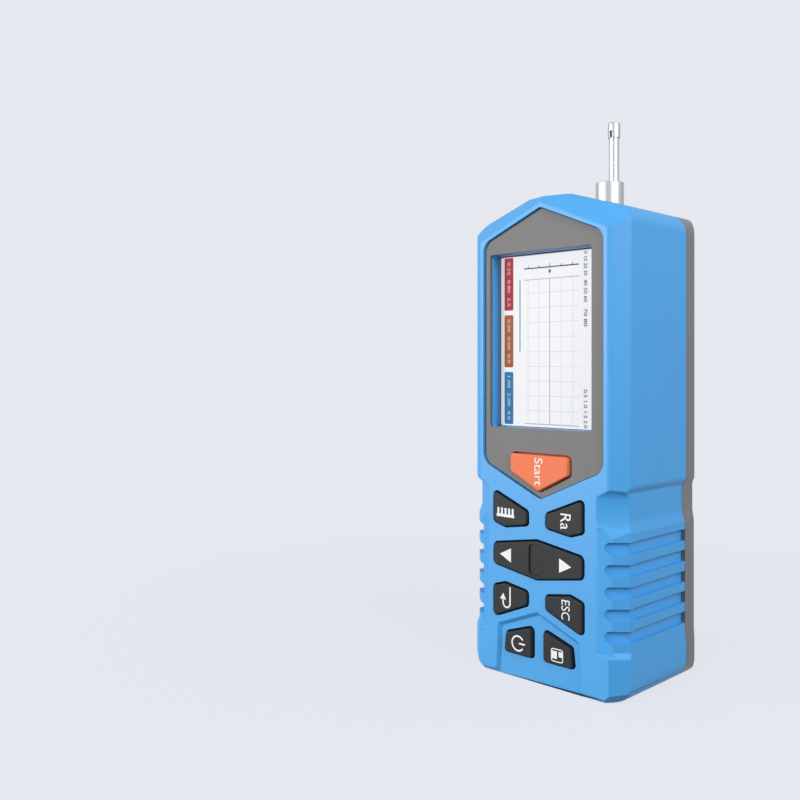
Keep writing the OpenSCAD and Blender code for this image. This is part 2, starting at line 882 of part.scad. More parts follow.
// Screws that hold the board
module board_screws() {
    color("#B9BCC0") for (at = board_screw_at) {
        bar_y(at, 0.8, front_wall + 1.2, board_back + eps);
        bar_y(at, 1.7, board_back, board_back + 1);
    }
}

// Rechargeable pack standing on the floor
module battery_pack() {
    color("#3A4048") difference() {
        box(battery_half, frame_front + 0.4, battery_back, floor_t, battery_top);
        for (s = [-1, 1]) on_side(s)
            translate([battery_half, dy(battery_back), 0])
                rotate([0, 0, 45]) cube([battery_edge, battery_edge, big], center = true);
    }
}

// Charging and data socket in the foot
module usb_socket() {
    color("#C4C7CA") difference() {
        box(usb_half, board_back, board_back + usb_t, 0.4, 7.6);
        difference() {
            box(usb_half - usb_wall, board_back + usb_wall, board_back + usb_t - usb_wall, 0, 6.6);
            box(3.2, board_back + 1.3, board_back + 1.9, 1, 7);
        }
    }
}

// Sounder on the back of the board
module buzzer() {
    color("#222426") difference() {
        bar_y([9, 40], 4.5, board_back, board_back + 3);
        bar_y([9, 40], 0.8, board_back + 2, board_back + 4);
    }
}

// Machined frame that carries motor, screw and rods
module drive_frame() {
    color("#B4B8BB") difference() {
        union() {
            slab(frame_front, frame_front + frame_t)
                polygon([
                    [-10, motor_plate_z], [10, motor_plate_z], [10, frame_bottom],
                    [cavity_half - 0.6, frame_bottom], [cavity_half - 0.6, frame_top],
                    [0.6 - cavity_half, frame_top], [0.6 - cavity_half, frame_bottom],
                    [-10, frame_bottom]
                ]);
            box(frame_half, frame_front, body_d - back_wall - 0.4, frame_bottom, frame_bottom + plate_t);
            box(frame_half, frame_front, body_d - back_wall - 0.4, frame_top - plate_t, frame_top);
            box(8, frame_front, motor_depth + 7, motor_plate_z, motor_plate_z + motor_plate_t);
        }
        for (at = frame_screw_at) bar_y(at, 1, frame_front - 1, frame_front + frame_t + 1);
        for (s = [-1, 1]) {
            bar_z([s * rod_x, rod_depth], rod_r + push_gap, frame_bottom - 1, frame_top + 1);
            bar_z([s * motor_screw_x, motor_depth], 0.9, motor_plate_z - 1, motor_plate_z + motor_plate_t + 1);
        }
        bar_z([0, motor_depth], bush_r + push_gap, frame_bottom - 1, frame_top + 1);
        bar_z([0, motor_depth], 2.2, motor_plate_z - 1, motor_plate_z + motor_plate_t + 1);
        bar_z([0, pickup_depth], pickup_r + 0.8, frame_top - plate_t - 1, frame_top + 1);
    }
}

// Screws that hold the frame
module frame_screws() {
    color("#B9BCC0") for (at = frame_screw_at) {
        bar_y(at, 0.7, frame_front - 5, frame_front + frame_t + eps);
        bar_y(at, 1.5, frame_front + frame_t, frame_front + frame_t + 1);
    }
}

// Gear motor with a centring boss
module drive_motor() {
    color("#9A9DA0") difference() {
        union() {
            bar_z([0, motor_depth], motor_r, motor_plate_z - motor_len, motor_plate_z);
            bar_z([0, motor_depth], 2, motor_plate_z - eps, motor_plate_z + 1.2);
        }
        bar_z([0, motor_depth], 1 + run_gap, motor_plate_z - 6, motor_plate_z + 2);
        for (s = [-1, 1])
            bar_z([s * motor_screw_x, motor_depth], 0.85, motor_plate_z - 4, motor_plate_z + 1);
    }
}

// Screws that hold the motor
module motor_screws() {
    top = motor_plate_z + motor_plate_t;
    color("#B9BCC0") for (s = [-1, 1]) {
        bar_z([s * motor_screw_x, motor_depth], 0.8, motor_plate_z - 3, top + eps);
        bar_z([s * motor_screw_x, motor_depth], 1.5, top, top + 0.9);
    }
}

// Output shaft of the motor
module motor_shaft() {
    color("#C9CCCF") bar_z([0, motor_depth], 1, motor_plate_z - 5.5, shaft_top);
}

// Sleeve that joins motor shaft and lead screw
module shaft_coupling() {
    color("#AEB2B5") difference() {
        bar_z([0, motor_depth], coupling_r, coupling_low, frame_bottom - 0.5);
        bar_z([0, motor_depth], 1 + push_gap, coupling_low - 1, coupling_step);
        bar_z([0, motor_depth], screw_r + push_gap, coupling_step, frame_bottom);
    }
}

// Lead screw with a stop shoulder
module lead_screw() {
    color("#C9CCCF") {
        bar_z([0, motor_depth], screw_r, screw_low, frame_top - 0.5);
        bar_z([0, motor_depth], coupling_r, frame_bottom + plate_t + 0.4, frame_bottom + plate_t + 1.6);
    }
}

// Bearing bushes of the lead screw
module screw_bushes() {
    color("#B08D4A") for (z = [frame_bottom, frame_top - plate_t]) difference() {
        bar_z([0, motor_depth], bush_r, z, z + plate_t);
        bar_z([0, motor_depth], screw_r + run_gap, z - 1, z + plate_t + 1);
    }
}

// Two ground guide rods
module guide_rods() {
    color("#C9CCCF") for (s = [-1, 1])
        bar_z([s * rod_x, rod_depth], rod_r, frame_bottom, frame_top);
}

// End-of-travel switches beside the carriage
module limit_switches() {
    color("#2B2B2D") for (z = [carriage_z - pickup_stroke + 2, carriage_z + 4])
        translate([limit_from, dy(frame_front + frame_t), z]) {
            cube([limit_wide, limit_size[0], limit_size[1]]);
            translate([-0.8, 2, 2]) cube([0.9, 1, 2]);
        }
}

// Sliding block that carries the pickup
module carriage() {
    color("#3E4246") difference() {
        union() {
            box(carriage_half, motor_depth - 4, rod_depth + 4, carriage_z, carriage_top);
            box(4, rod_depth + 3, pickup_depth, carriage_z, carriage_top);
            bar_z([0, pickup_depth], pickup_r, carriage_z, carriage_top);
        }
        for (s = [-1, 1])
            bar_z([s * rod_x, rod_depth], rod_r + run_gap, carriage_z - 1, carriage_top + 1);
        bar_z([0, motor_depth], bush_r + push_gap, carriage_z - 1, carriage_top + 1);
        bar_z([0, pickup_depth], socket_r + push_gap, carriage_z - 1, carriage_top + 1);
    }
}

// Brass nut on the lead screw
module lead_nut() {
    color("#B08D4A") difference() {
        union() {
            bar_z([0, motor_depth], bush_r, carriage_z, carriage_top + eps);
            bar_z([0, motor_depth], 3.8, carriage_top, carriage_top + 1.5);
        }
        bar_z([0, motor_depth], screw_r + run_gap, carriage_z - 1, carriage_top + 3);
    }
}

// Socket into which the pickup plugs
module pickup_socket() {
    color("#2B2B2D") difference() {
        bar_z([0, pickup_depth], socket_r, carriage_z, carriage_top);
        bar_z([0, pickup_depth], plug_r + push_gap, carriage_z + 1.5, carriage_top + 1);
    }
}

// Plug of the pickup with the tongue that carries the coils
module pickup_plug() {
    color("#3A3D40") {
        bar_z([0, pickup_depth], plug_r, carriage_z + 2, carriage_top + eps);
        bar_z([0, pickup_depth], pickup_bore - 0.05, carriage_top, carriage_top + 2.5);
        box(1.7, pickup_depth - 3, pickup_depth - 2, carriage_top + 2.4, carriage_top + 15);
    }
}

// Steel body of the pickup with an off-centre hole in its cap
module pickup_body() {
    color("#C9CCCF") difference() {
        union() {
            bar_z([0, pickup_depth], pickup_r, carriage_top, pickup_top - 0.2);
            translate([0, dy(pickup_depth), pickup_top - 0.2])
                cylinder(r1 = pickup_r, r2 = pickup_r - 0.2, h = 0.2);
        }
        bar_z([0, pickup_depth], pickup_bore, carriage_top - 1, pickup_top - pickup_cap);
        bar_z([0, tube_depth], tube_r + push_gap, pickup_top - pickup_cap - 1, pickup_top + 1);
    }
}

// Slot through skid head and tube, from front to back
module stylus_slot() {
    box(slot_w / 2, tube_depth - 5, tube_depth + 5, skid_bottom - 1, skid_bottom + slot_h);
}

// Thin tube around the stylus arm
module pickup_tube() {
    color("#C9CCCF") difference() {
        bar_z([0, tube_depth], tube_r, pickup_top - pickup_cap, skid_top - 1.4);
        bar_z([0, tube_depth], tube_bore, pickup_top - pickup_cap - 1, skid_top);
        box(slot_w / 2, tube_depth - 5, tube_depth + 5, skid_bottom, skid_bottom + slot_h);
    }
}

// Slotted skid that rides on the work
module skid_head() {
    color("#D2D5D8") difference() {
        union() {
            bar_z([0, tube_depth], skid_r, skid_bottom, skid_top - 0.3);
            translate([0, dy(tube_depth), skid_top - 0.3])
                cylinder(r1 = skid_r, r2 = skid_r - 0.3, h = 0.3);
        }
        bar_z([0, tube_depth], tube_r + push_gap, skid_bottom - 1, skid_top - 1.2);
        stylus_slot();
    }
}

// Two ears that hold the stylus pivot under the cap
module pivot_yoke() {
    color("#B4B8BB") difference() {
        for (s = [-1, 1]) translate([s * 1.2, 0, 0])
            box(0.3, tube_depth - 1.6, tube_depth + 0.4, pivot_z - 1.2, pickup_top - pickup_cap);
        translate([-3, dy(tube_depth), pivot_z]) rotate([0, 90, 0]) cylinder(r = 0.2 + push_gap, h = 6);
    }
}

// Pivot pin of the stylus
module pivot_pin() {
    color("#C9CCCF") translate([-1.5, dy(tube_depth), pivot_z]) rotate([0, 90, 0]) cylinder(r = 0.2, h = 3);
}

// Balanced arm from the coils to the tip
module stylus_arm() {
    low = carriage_top + 7;
    color("#C9CCCF") difference() {
        union() {
            bar_z([0, tube_depth], 0.35, low, tip_z + 0.3);
            translate([-0.8, dy(tube_depth), pivot_z]) rotate([0, 90, 0]) cylinder(r = 0.45, h = 1.6);
            box(0.5, tube_depth - 0.35, tube_depth + 0.3, low, low + 6);
            box(0.3, tube_depth - 0.35, tube_depth + 0.4, tip_z - 0.4, tip_z + 0.4);
        }
        translate([-3, dy(tube_depth), pivot_z]) rotate([0, 90, 0]) cylinder(r = 0.2 + run_gap, h = 6);
    }
}

// Hard tip that touches the work
module stylus_tip() {
    color("#E8EAEC") translate([0, dy(tube_depth + 0.4), tip_z]) rotate([-90, 0, 0])
        cylinder(r1 = 0.28, r2 = 0.03, h = skid_r - 0.25);
}

// Core on the lower end of the arm
module sensor_core() {
    color("#55585C") box(1.2, tube_depth - 0.75, tube_depth - 0.35, carriage_top + 7, carriage_top + 13);
}

// Pair of coils facing the core
module sensor_coils() {
    color("#A6612C") for (z = [carriage_top + 8.3, carriage_top + 11.7])
        bar_y([0, z], 1.6, pickup_depth - 2, tube_depth - 1.2);
}

// Rubber ring in the roof around the pickup
module dust_ring() {
    color("#2A2A2C") difference() {
        bar_z([0, pickup_depth], ring_r, cavity_ridge - 1, cavity_ridge + 1.6);
        bar_z([0, pickup_depth], pickup_r + 0.2, cavity_ridge - 2, cavity_ridge + 3);
    }
}

// Screws that join the two shells
module case_screws() {
    color("#B9BCC0") for (at = case_screw_at) difference() {
        union() {
            bar_y(at, case_shank_r, seam_depth - 10, case_seat + eps);
            bar_y(at, case_head_r, case_seat, case_seat + 1.6);
        }
        bar_y(at, 0.9, case_seat + 0.8, case_seat + 2, $fn = 6);
    }
}

front_housing();
rear_cover();
front_panel();
display_lens();
display_module();
start_button();
ruler_key();
parameter_key();
arrow_rocker();
rocker_pin();
enter_key();
escape_key();
power_key();
save_key();
main_board();
key_switches();
board_screws();
battery_pack();
usb_socket();
buzzer();
drive_frame();
frame_screws();
drive_motor();
motor_screws();
motor_shaft();
shaft_coupling();
lead_screw();
screw_bushes();
guide_rods();
limit_switches();
carriage();
lead_nut();
pickup_socket();
pickup_plug();
pickup_body();
pickup_tube();
skid_head();
pivot_yoke();
pivot_pin();
stylus_arm();
stylus_tip();
sensor_core();
sensor_coils();
dust_ring();
case_screws();
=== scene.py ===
"""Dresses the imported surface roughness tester: soft-edged shells and keys,
printed legends, a lit display, turned steel and a pale studio.
"""
import json
import math

import bmesh
import bpy
import numpy as np
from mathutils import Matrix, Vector


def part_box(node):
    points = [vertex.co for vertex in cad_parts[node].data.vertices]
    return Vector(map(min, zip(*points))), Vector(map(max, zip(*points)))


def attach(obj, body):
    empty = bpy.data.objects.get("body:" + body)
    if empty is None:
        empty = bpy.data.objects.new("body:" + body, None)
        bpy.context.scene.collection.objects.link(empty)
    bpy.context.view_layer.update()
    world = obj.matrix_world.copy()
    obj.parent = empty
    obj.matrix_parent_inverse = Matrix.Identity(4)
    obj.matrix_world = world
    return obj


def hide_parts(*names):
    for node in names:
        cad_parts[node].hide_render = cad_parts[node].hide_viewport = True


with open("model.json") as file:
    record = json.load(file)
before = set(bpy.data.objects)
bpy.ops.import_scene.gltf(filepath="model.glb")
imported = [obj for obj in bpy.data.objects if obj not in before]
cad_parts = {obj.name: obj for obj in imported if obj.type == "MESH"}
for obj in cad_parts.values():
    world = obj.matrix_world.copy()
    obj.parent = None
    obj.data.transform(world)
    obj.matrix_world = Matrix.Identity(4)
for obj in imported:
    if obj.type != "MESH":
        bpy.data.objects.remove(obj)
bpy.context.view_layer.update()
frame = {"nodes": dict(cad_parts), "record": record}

bl_info = {
    "name": "Roughness tester dressing",
    "version": (1, 0, 0),
    "blender": (4, 5, 0),
    "location": "View3D > Sidebar > Tester",
    "description": "Adds the looks of a handheld surface roughness tester to its solids",
    "category": "Object",
}

MM = 0.001
NODES = frame["nodes"]
BODY_OF = {n: b for b, members in frame["record"]["behaviour"]["bodies"].items() for n in members}
SLOT_OF = {p["node"]: p["material_slot"] for p in frame["record"]["subparts"]}
FACE_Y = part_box("front_housing")[0].y / MM
SCREEN_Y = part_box("display_module")[0].y / MM
SEAM_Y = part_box("front_housing")[1].y / MM
LENS_BOX = [np.array(c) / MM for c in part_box("display_lens")]
KEY_NODES = (
    "start_button", "ruler_key", "parameter_key", "arrow_rocker",
    "enter_key", "escape_key", "power_key", "save_key",
)
TURNED_NODES = ("pickup_body", "pickup_tube", "skid_head")

# Where things lie on the case, in millimetres. HALF is sideways from the middle,
# DEPTH is back from the front face, and LOW and HIGH are heights.
HOLLOW_HALF, HOLLOW_DEPTH, HOLLOW_FLOOR = 23.2, 2.7, 2.8
HOLLOW_EAVE, HOLLOW_SLOPE = 133.2, 0.31
GRIP_HALF, GRIP_DEPTH = 18.5, 0.2
GRIP_LOW, GRIP_HIGH = 14.6, 46.4
PANEL_HALF, PANEL_LOW, PANEL_HIGH = 21.6, 53.0, 139.2
PANEL_SLOPE, PANEL_SPARE = 0.426, 0.9
KEYS_HALF, KEYS_LOW, KEYS_DEPTH = 17.4, 2.0, 1.2
CROWN_HALF, CROWN_LOW = 8.0, 138.0
RIDGE_DEPTH, BORE_DEPTH = 8.0, 30.0
SOCKET_HALF, SOCKET_HIGH = 6.0, 4.0
SOCKET_NEAR, SOCKET_FAR = 5.0, 16.0
SEAM_REACH = 0.05
COVER_HALF, COVER_LOW, COVER_HIGH = 23.5, 3.0, 140.0

# How edges are rounded: angles in degrees, lengths in millimetres
FLAT_ANGLE = 0.4
EDGE_ANGLE, KEY_ANGLE, TURNED_ANGLE, RIDGE_ANGLE = 14, 18, 30, 40
SIDE_ANGLE = 25
STRAIGHT_ANGLE, BEND_ANGLE = 0.05, 50
ROOM_SHARE, ROOM_MOST = 0.44, 9.0
SHORT_SHARE = 0.8
END_LENGTH, UPRIGHT_LENGTH = 2.4, 25.0
COVER_SHARE = 0.7
BORE_EDGE, HOLE_EDGE, TURNED_EDGE = 0.12, 0.15, 0.06
EDGES_AT_POINT, RUN_STEPS = 8, 400
TINY = 1e-9

# Key tops and the display, in millimetres
TOP_SPARE, TOP_REACH = 0.005, 0.02
LENS_CORNER, SCREEN_SPARE = 0.7, 0.002

# Light of the display: share of a colour that it reflects, and strength of its glow
SCREEN_SHARE, SCREEN_SPECULAR, SCREEN_GRAIN = 0.4, 0.05, 900.0
SCREEN_GLOW, MARK_GLOW = 0.62, 0.5
LENS_ALPHA = 0.04

# Floor of the studio, in metres
FLOOR_RADIUS, FLOOR_RINGS, FLOOR_SPOKES = 6.0, 24, 96
FADE_NEAR, FADE_FAR, FADE_LEAST = 0.05, 0.34, 0.9


def colour(name, description, rgb):
    """A colour setting with a name, a description and a default, in linear light."""
    return bpy.props.FloatVectorProperty(
        name=name, description=description, subtype="COLOR", size=3, min=0, max=1, default=rgb
    )


def length(name, description, millimetres):
    """A length setting, stored in metres."""
    return bpy.props.FloatProperty(
        name=name, description=description, unit="LENGTH", precision=6, min=0, default=millimetres * MM
    )


class TesterColours(bpy.types.PropertyGroup):
    """Colours of the tester's plastics, prints and display."""

    case_blue: colour("Case", "Blue of the front shell", (0.064, 0.365, 0.78))
    cover_grey: colour("Cover", "Grey of the back cover", (0.16, 0.167, 0.174))
    panel_grey: colour("Panel", "Grey of the panel round the display", (0.208, 0.201, 0.199))
    start_orange: colour("Start button", "Orange of the start button", (0.87, 0.20, 0.085))
    key_black: colour("Keys", "Charcoal of the keys", (0.022, 0.0225, 0.023))
    legend_white: colour("Legends", "White of the printed legends", (0.86, 0.87, 0.88))
    screen_white: colour("Screen", "White of the lit display", (0.93, 0.94, 0.96))
    screen_grey: colour("Plot lines", "Grey of the plot lines", (0.52, 0.53, 0.54))
    screen_dark: colour("Axis", "Dark grey of the plot axis", (0.05, 0.055, 0.06))
    screen_faint: colour("Grid", "Pale grey of the plot grid", (0.85, 0.86, 0.87))
    block_red: colour("First block", "Red of the first readout block", (0.48, 0.01, 0.03))
    block_orange: colour("Second block", "Brown orange of the second readout block", (0.46, 0.10, 0.025))
    block_blue: colour("Third block", "Blue of the third readout block", (0.01, 0.215, 0.47))
    plot_teal: colour("Marker", "Teal of the marker and the level line", (0.03, 0.24, 0.30))
    steel: colour("Steel", "Tone of the turned steel", (0.50, 0.505, 0.51))


class TesterSizes(bpy.types.PropertyGroup):
    """Small sizes of edges and prints."""

    case_edge: length("Case edge", "Rounding along the main edges of the shells", 0.8)
    groove_edge: length("Groove edge", "Rounding along the finger grooves", 0.4)
    rim_edge: length("Rim edge", "Rounding round the openings in the front", 0.22)
    seam_edge: length("Seam edge", "Rounding along the seam between the shells", 0.3)
    key_edge: length("Key edge", "Rounding along the edges of the keys", 0.12)
    panel_edge: length("Panel edge", "Rounding along the edges of the panel", 0.12)
    print_height: length("Print height", "How far a printed legend stands out", 0.04)
    print_root: length("Print root", "How far a printed legend reaches into its key", 0.02)
    screen_print: length("Screen print", "Thickness of the marks on the display", 0.02)


class StudioSettings(bpy.types.PropertyGroup):
    """Camera and light of the studio."""

    camera_at: bpy.props.FloatVectorProperty(
        name="Camera", description="Place of the camera", subtype="XYZ", unit="LENGTH", size=3,
        default=(0.16068, -0.23912, 0.0923),
    )
    camera_turn: bpy.props.FloatProperty(
        name="Turn", description="Turn of the camera about the upright axis", subtype="ANGLE",
        default=math.radians(45),
    )
    lens: bpy.props.FloatProperty(name="Lens", description="Focal length in millimetres", default=41.58)
    shift: bpy.props.FloatProperty(name="Shift", description="Upright shift of the frame", default=-0.04125)
    backdrop: colour("Backdrop", "Pale grey of floor and backdrop", (0.79, 0.81, 0.87))
    world_level: bpy.props.FloatProperty(name="World", description="Level of the light all round", default=0.38)
    key_power: bpy.props.FloatProperty(
        name="Key light", description="Power of the light at the front left", subtype="POWER", default=6.9
    )
    fill_power: bpy.props.FloatProperty(
        name="Fill light", description="Power of the light at the right", subtype="POWER", default=1.5
    )
    top_power: bpy.props.FloatProperty(
        name="Top light", description="Power of the light overhead", subtype="POWER", default=0.08
    )


# Materials


def new_group(name, own, own_kind):
    """An empty surface group with its two end nodes. It takes a colour, one input
    of its own and two roughness values, and puts out colour, roughness and height.
    """
    group = bpy.data.node_groups.new(name, "ShaderNodeTree")
    number, tone = "NodeSocketFloat", "NodeSocketColor"
    ways = {
        "INPUT": (("Colour", tone), (own, own_kind), ("Rough low", number), ("Rough high", number)),
        "OUTPUT": (("Colour", tone), ("Roughness", number), ("Height", number)),
    }
    for way, sockets in ways.items():
        for key, kind in sockets:
            group.interface.new_socket(name=key, in_out=way, socket_type=kind)
    return group, group.nodes.new("NodeGroupInput"), group.nodes.new("NodeGroupOutput")


def noise(tree, scale, detail, rough):
    """A noise texture with fixed values."""
    node = tree.nodes.new("ShaderNodeTexNoise")
    node.inputs["Scale"].default_value = scale
    node.inputs["Detail"].default_value = detail
    node.inputs["Roughness"].default_value = rough
    return node


def rough_and_tint(group, start, end, value, dark, pale):
    """A value from 0 to 1 runs the roughness between the group's two inputs, and
    multiplies the colour by dark to pale.
    """
    link = group.links.new
    rough, shade = (group.nodes.new("ShaderNodeMapRange") for _ in range(2))
    link(value, rough.inputs["Value"])
    link(start.outputs["Rough low"], rough.inputs["To Min"])
    link(start.outputs["Rough high"], rough.inputs["To Max"])
    link(rough.outputs["Result"], end.inputs["Roughness"])
    shade.inputs["To Min"].default_value = dark
    shade.inputs["To Max"].default_value = pale
    link(value, shade.inputs["Value"])
    tint = group.nodes.new("ShaderNodeVectorMath")
    tint.operation = "SCALE"
    link(start.outputs["Colour"], tint.inputs[0])
    link(shade.outputs["Result"], tint.inputs["Scale"])
    link(tint.outputs["Vector"], end.inputs["Colour"])


def moulded_group():
    """Moulded surface: fine spark grain for height, and a slow mottle that shifts roughness and shade."""
    group, start, end = new_group("moulded_surface", "Grain", "NodeSocketFloat")
    link = group.links.new
    place = group.nodes.new("ShaderNodeTexCoord")
    grain = noise(group, 2600, 3, 0.55)
    pits = group.nodes.new("ShaderNodeTexVoronoi")
    slow = noise(group, 70, 2, 0.5)
    for node in (grain, pits, slow):
        link(place.outputs["Object"], node.inputs["Vector"])
    link(start.outputs["Grain"], grain.inputs["Scale"])
    link(start.outputs["Grain"], pits.inputs["Scale"])
    height = group.nodes.new("ShaderNodeMath")
    height.operation = "MULTIPLY_ADD"
    height.inputs[1].default_value = 0.6
    link(pits.outputs["Distance"], height.inputs[0])
    link(grain.outputs["Fac"], height.inputs[2])
    link(height.outputs[0], end.inputs["Height"])
    rough_and_tint(group, start, end, slow.outputs["Fac"], 0.965, 1.035)
    return group


def turned_group():
    """Machined metal: streaks drawn out along one direction, for roughness, shade and height."""
    group, start, end = new_group("machined_surface", "Stretch", "NodeSocketVector")
    link = group.links.new
    place = group.nodes.new("ShaderNodeTexCoord")
    pull = group.nodes.new("ShaderNodeVectorMath")
    pull.operation = "MULTIPLY"
    link(place.outputs["Object"], pull.inputs[0])
    link(start.outputs["Stretch"], pull.inputs[1])
    streak = noise(group, 1, 4, 0.6)
    link(pull.outputs["Vector"], streak.inputs["Vector"])
    link(streak.outputs["Fac"], end.inputs["Height"])
    rough_and_tint(group, start, end, streak.outputs["Fac"], 0.93, 1.05)
    return group


GROUP_MAKERS = {"moulded_surface": moulded_group, "machined_surface": turned_group}


def finish(name, group, rgb, values, bump, metallic, specular):
    """A material: one surface group feeds colour, roughness and a bump, and the
    shader's own sockets are set. A bump is its strength and its height in millimetres.
    """
    name = f"{name}_finish"
    done = bpy.data.materials.get(name)
    if done:
        return done
    material = bpy.data.materials.new(name)
    material.use_nodes = True
    material.diffuse_color = (*rgb, 1)
    tree = material.node_tree
    shader = tree.nodes["Principled BSDF"]
    node = tree.nodes.new("ShaderNodeGroup")
    node.node_tree = bpy.data.node_groups.get(group) or GROUP_MAKERS[group]()
    node.inputs["Colour"].default_value = (*rgb, 1)
    for key, value in values.items():
        node.inputs[key].default_value = value
    tree.links.new(node.outputs["Colour"], shader.inputs["Base Color"])
    tree.links.new(node.outputs["Roughness"], shader.inputs["Roughness"])
    if bump:
        lift = tree.nodes.new("ShaderNodeBump")
        lift.inputs["Strength"].default_value = bump[0]
        lift.inputs["Distance"].default_value = bump[1] * MM
        tree.links.new(node.outputs["Height"], lift.inputs["Height"])
        tree.links.new(lift.outputs["Normal"], shader.inputs["Normal"])
    shader.inputs["Metallic"].default_value = metallic
    shader.inputs["Specular IOR Level"].default_value = specular
    return material


def plastic(name, rgb, low, high, grain=2600.0, bump=(0.12, 0.03), specular=0.5):
    """A moulded plastic or rubber with grain."""
    values = {"Grain": grain, "Rough low": low, "Rough high": high}
    return finish(name, "moulded_surface", rgb, values, bump, 0.0, specular)


def metal(name, rgb, low, high, stretch, bump=(0.08, 0.01)):
    """A machined metal with streaks."""
    values = {"Stretch": stretch, "Rough low": low, "Rough high": high}
    return finish(name, "machined_surface", rgb, values, bump, 1.0, 0.5)


def lit(name, rgb, low, high, strength):
    """A part of the display that glows in its own colour."""
    dim = tuple(SCREEN_SHARE * v for v in rgb)
    material = plastic(name, dim, low, high, SCREEN_GRAIN, None, SCREEN_SPECULAR)
    shader = material.node_tree.nodes["Principled BSDF"]
    shader.inputs["Emission Color"].default_value = (*rgb, 1)
    shader.inputs["Emission Strength"].default_value = strength
    return material


def slot_finish(slot):
    """The material of one of the record's slots."""
    c = bpy.context.scene.tester_colours
    if slot == "display":
        return lit(slot, tuple(c.screen_white), 0.3, 0.36, SCREEN_GLOW)
    # Maker, colour, least and most roughness, then grain or streaks, bump and specular level
    looks = {
        "case_blue": (plastic, c.case_blue, 0.44, 0.52),
        "cover_grey": (plastic, c.cover_grey, 0.34, 0.42),
        "panel_grey": (plastic, c.panel_grey, 0.46, 0.54, 3200.0, (0.08, 0.02), 0.12),
        "start_orange": (plastic, c.start_orange, 0.46, 0.54, 3000.0, (0.08, 0.02), 0.2),
        "key_black": (plastic, c.key_black, 0.44, 0.54, 3000.0, (0.1, 0.02), 0.2),
        "lens": (plastic, (0.05, 0.06, 0.07), 0.24, 0.28, 400.0, None, 0.2),
        "steel": (metal, c.steel, 0.44, 0.47, (40, 40, 900), None),
        "board_green": (plastic, (0.03, 0.16, 0.07), 0.28, 0.4, 500.0, (0.1, 0.02)),
        "black_plastic": (plastic, (0.025, 0.025, 0.028), 0.4, 0.52),
        "battery_wrap": (plastic, (0.05, 0.06, 0.08), 0.22, 0.34, 300.0, (0.06, 0.05)),
        "frame_aluminium": (metal, (0.62, 0.64, 0.66), 0.28, 0.42, (60, 60, 2600)),
        "bearing_brass": (metal, (0.60, 0.42, 0.16), 0.2, 0.34, (60, 60, 4200)),
        "ring_rubber": (plastic, (0.02, 0.02, 0.022), 0.6, 0.72),
        "coil_copper": (metal, (0.55, 0.22, 0.08), 0.25, 0.4, (300, 8000, 300)),
    }
    if slot not in looks:
        raise KeyError(f"no finish is written for the slot {slot}")
    maker, rgb, *values = looks[slot]
    material = maker(slot, tuple(rgb), *values)
    if slot == "lens":
        material.node_tree.nodes["Principled BSDF"].inputs["Alpha"].default_value = LENS_ALPHA
    return material


def legend_finish():
    """White print of the legends."""
    white = tuple(bpy.context.scene.tester_colours.legend_white)
    return plastic("legend_print", white, 0.5, 0.58, 2000.0, (0.05, 0.01))


# Pieces


def add_piece(name, mesh, material, body):
    """Links a finished mesh as a piece that rides on a body."""
    piece = bpy.data.objects.new(name, mesh)
    bpy.context.scene.collection.objects.link(piece)
    mesh.materials.clear()
    mesh.materials.append(material)
    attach(piece, body)
    return piece


def read(items, key, kind, columns=1):
    """One value of every vertex, edge, face or corner of a mesh, as an array."""
    values = np.empty(len(items) * columns, kind)
    items.foreach_get(key, values)
    return values.reshape(-1, columns) if columns > 1 else values


def edge_facts(mesh):
    """For each edge of a mesh: its middle and its run in millimetres, and the angle
    between its two faces in degrees. Edges with one face get angle 0.
    """
    points = read(mesh.vertices, "co", np.float32, 3) / MM
    ends = read(mesh.edges, "vertices", np.int32, 2)
    normals = read(mesh.polygons, "normal", np.float32, 3)
    sides = read(mesh.polygons, "loop_total", np.int32)
    loop_edge = read(mesh.loops, "edge_index", np.int32)
    loop_face = np.repeat(np.arange(len(mesh.polygons)), sides)
    order = np.argsort(loop_edge, kind="stable")
    edge, face = loop_edge[order], loop_face[order]
    first = np.searchsorted(edge, np.arange(len(mesh.edges)), "left")
    last = np.searchsorted(edge, np.arange(len(mesh.edges)), "right") - 1
    dot = np.einsum("ij,ij->i", normals[face[first]], normals[face[last]])
    angle = np.degrees(np.arccos(np.clip(dot, -1, 1)))
    run = points[ends[:, 1]] - points[ends[:, 0]]
    return points[ends].mean(1), run, angle


def room(mesh, run):
    """How wide each edge can be rounded, in millimetres: under half of the shortest
    edge that leaves it sideways in its own faces.
    """
    edge = read(mesh.loops, "edge_index", np.int32)
    start = read(mesh.polygons, "loop_start", np.int32)
    sides = read(mesh.polygons, "loop_total", np.int32)
    follow = np.arange(len(edge)) + 1
    follow[start + sides - 1] = start
    other = edge[follow]
    size = np.linalg.norm(run, axis=1)
    along = np.abs(np.einsum("ij,ij->i", run[edge], run[other])) / (size[edge] * size[other] + TINY)
    across = np.sqrt(np.clip(1 - along ** 2, 0, 1))
    turn = along < math.cos(math.radians(SIDE_ANGLE))
    free = np.full(len(mesh.edges), ROOM_MOST)
    np.minimum.at(free, edge[turn], ROOM_SHARE * size[other[turn]] * across[turn])
    np.minimum.at(free, other[turn], ROOM_SHARE * size[edge[turn]] * across[turn])
    return free


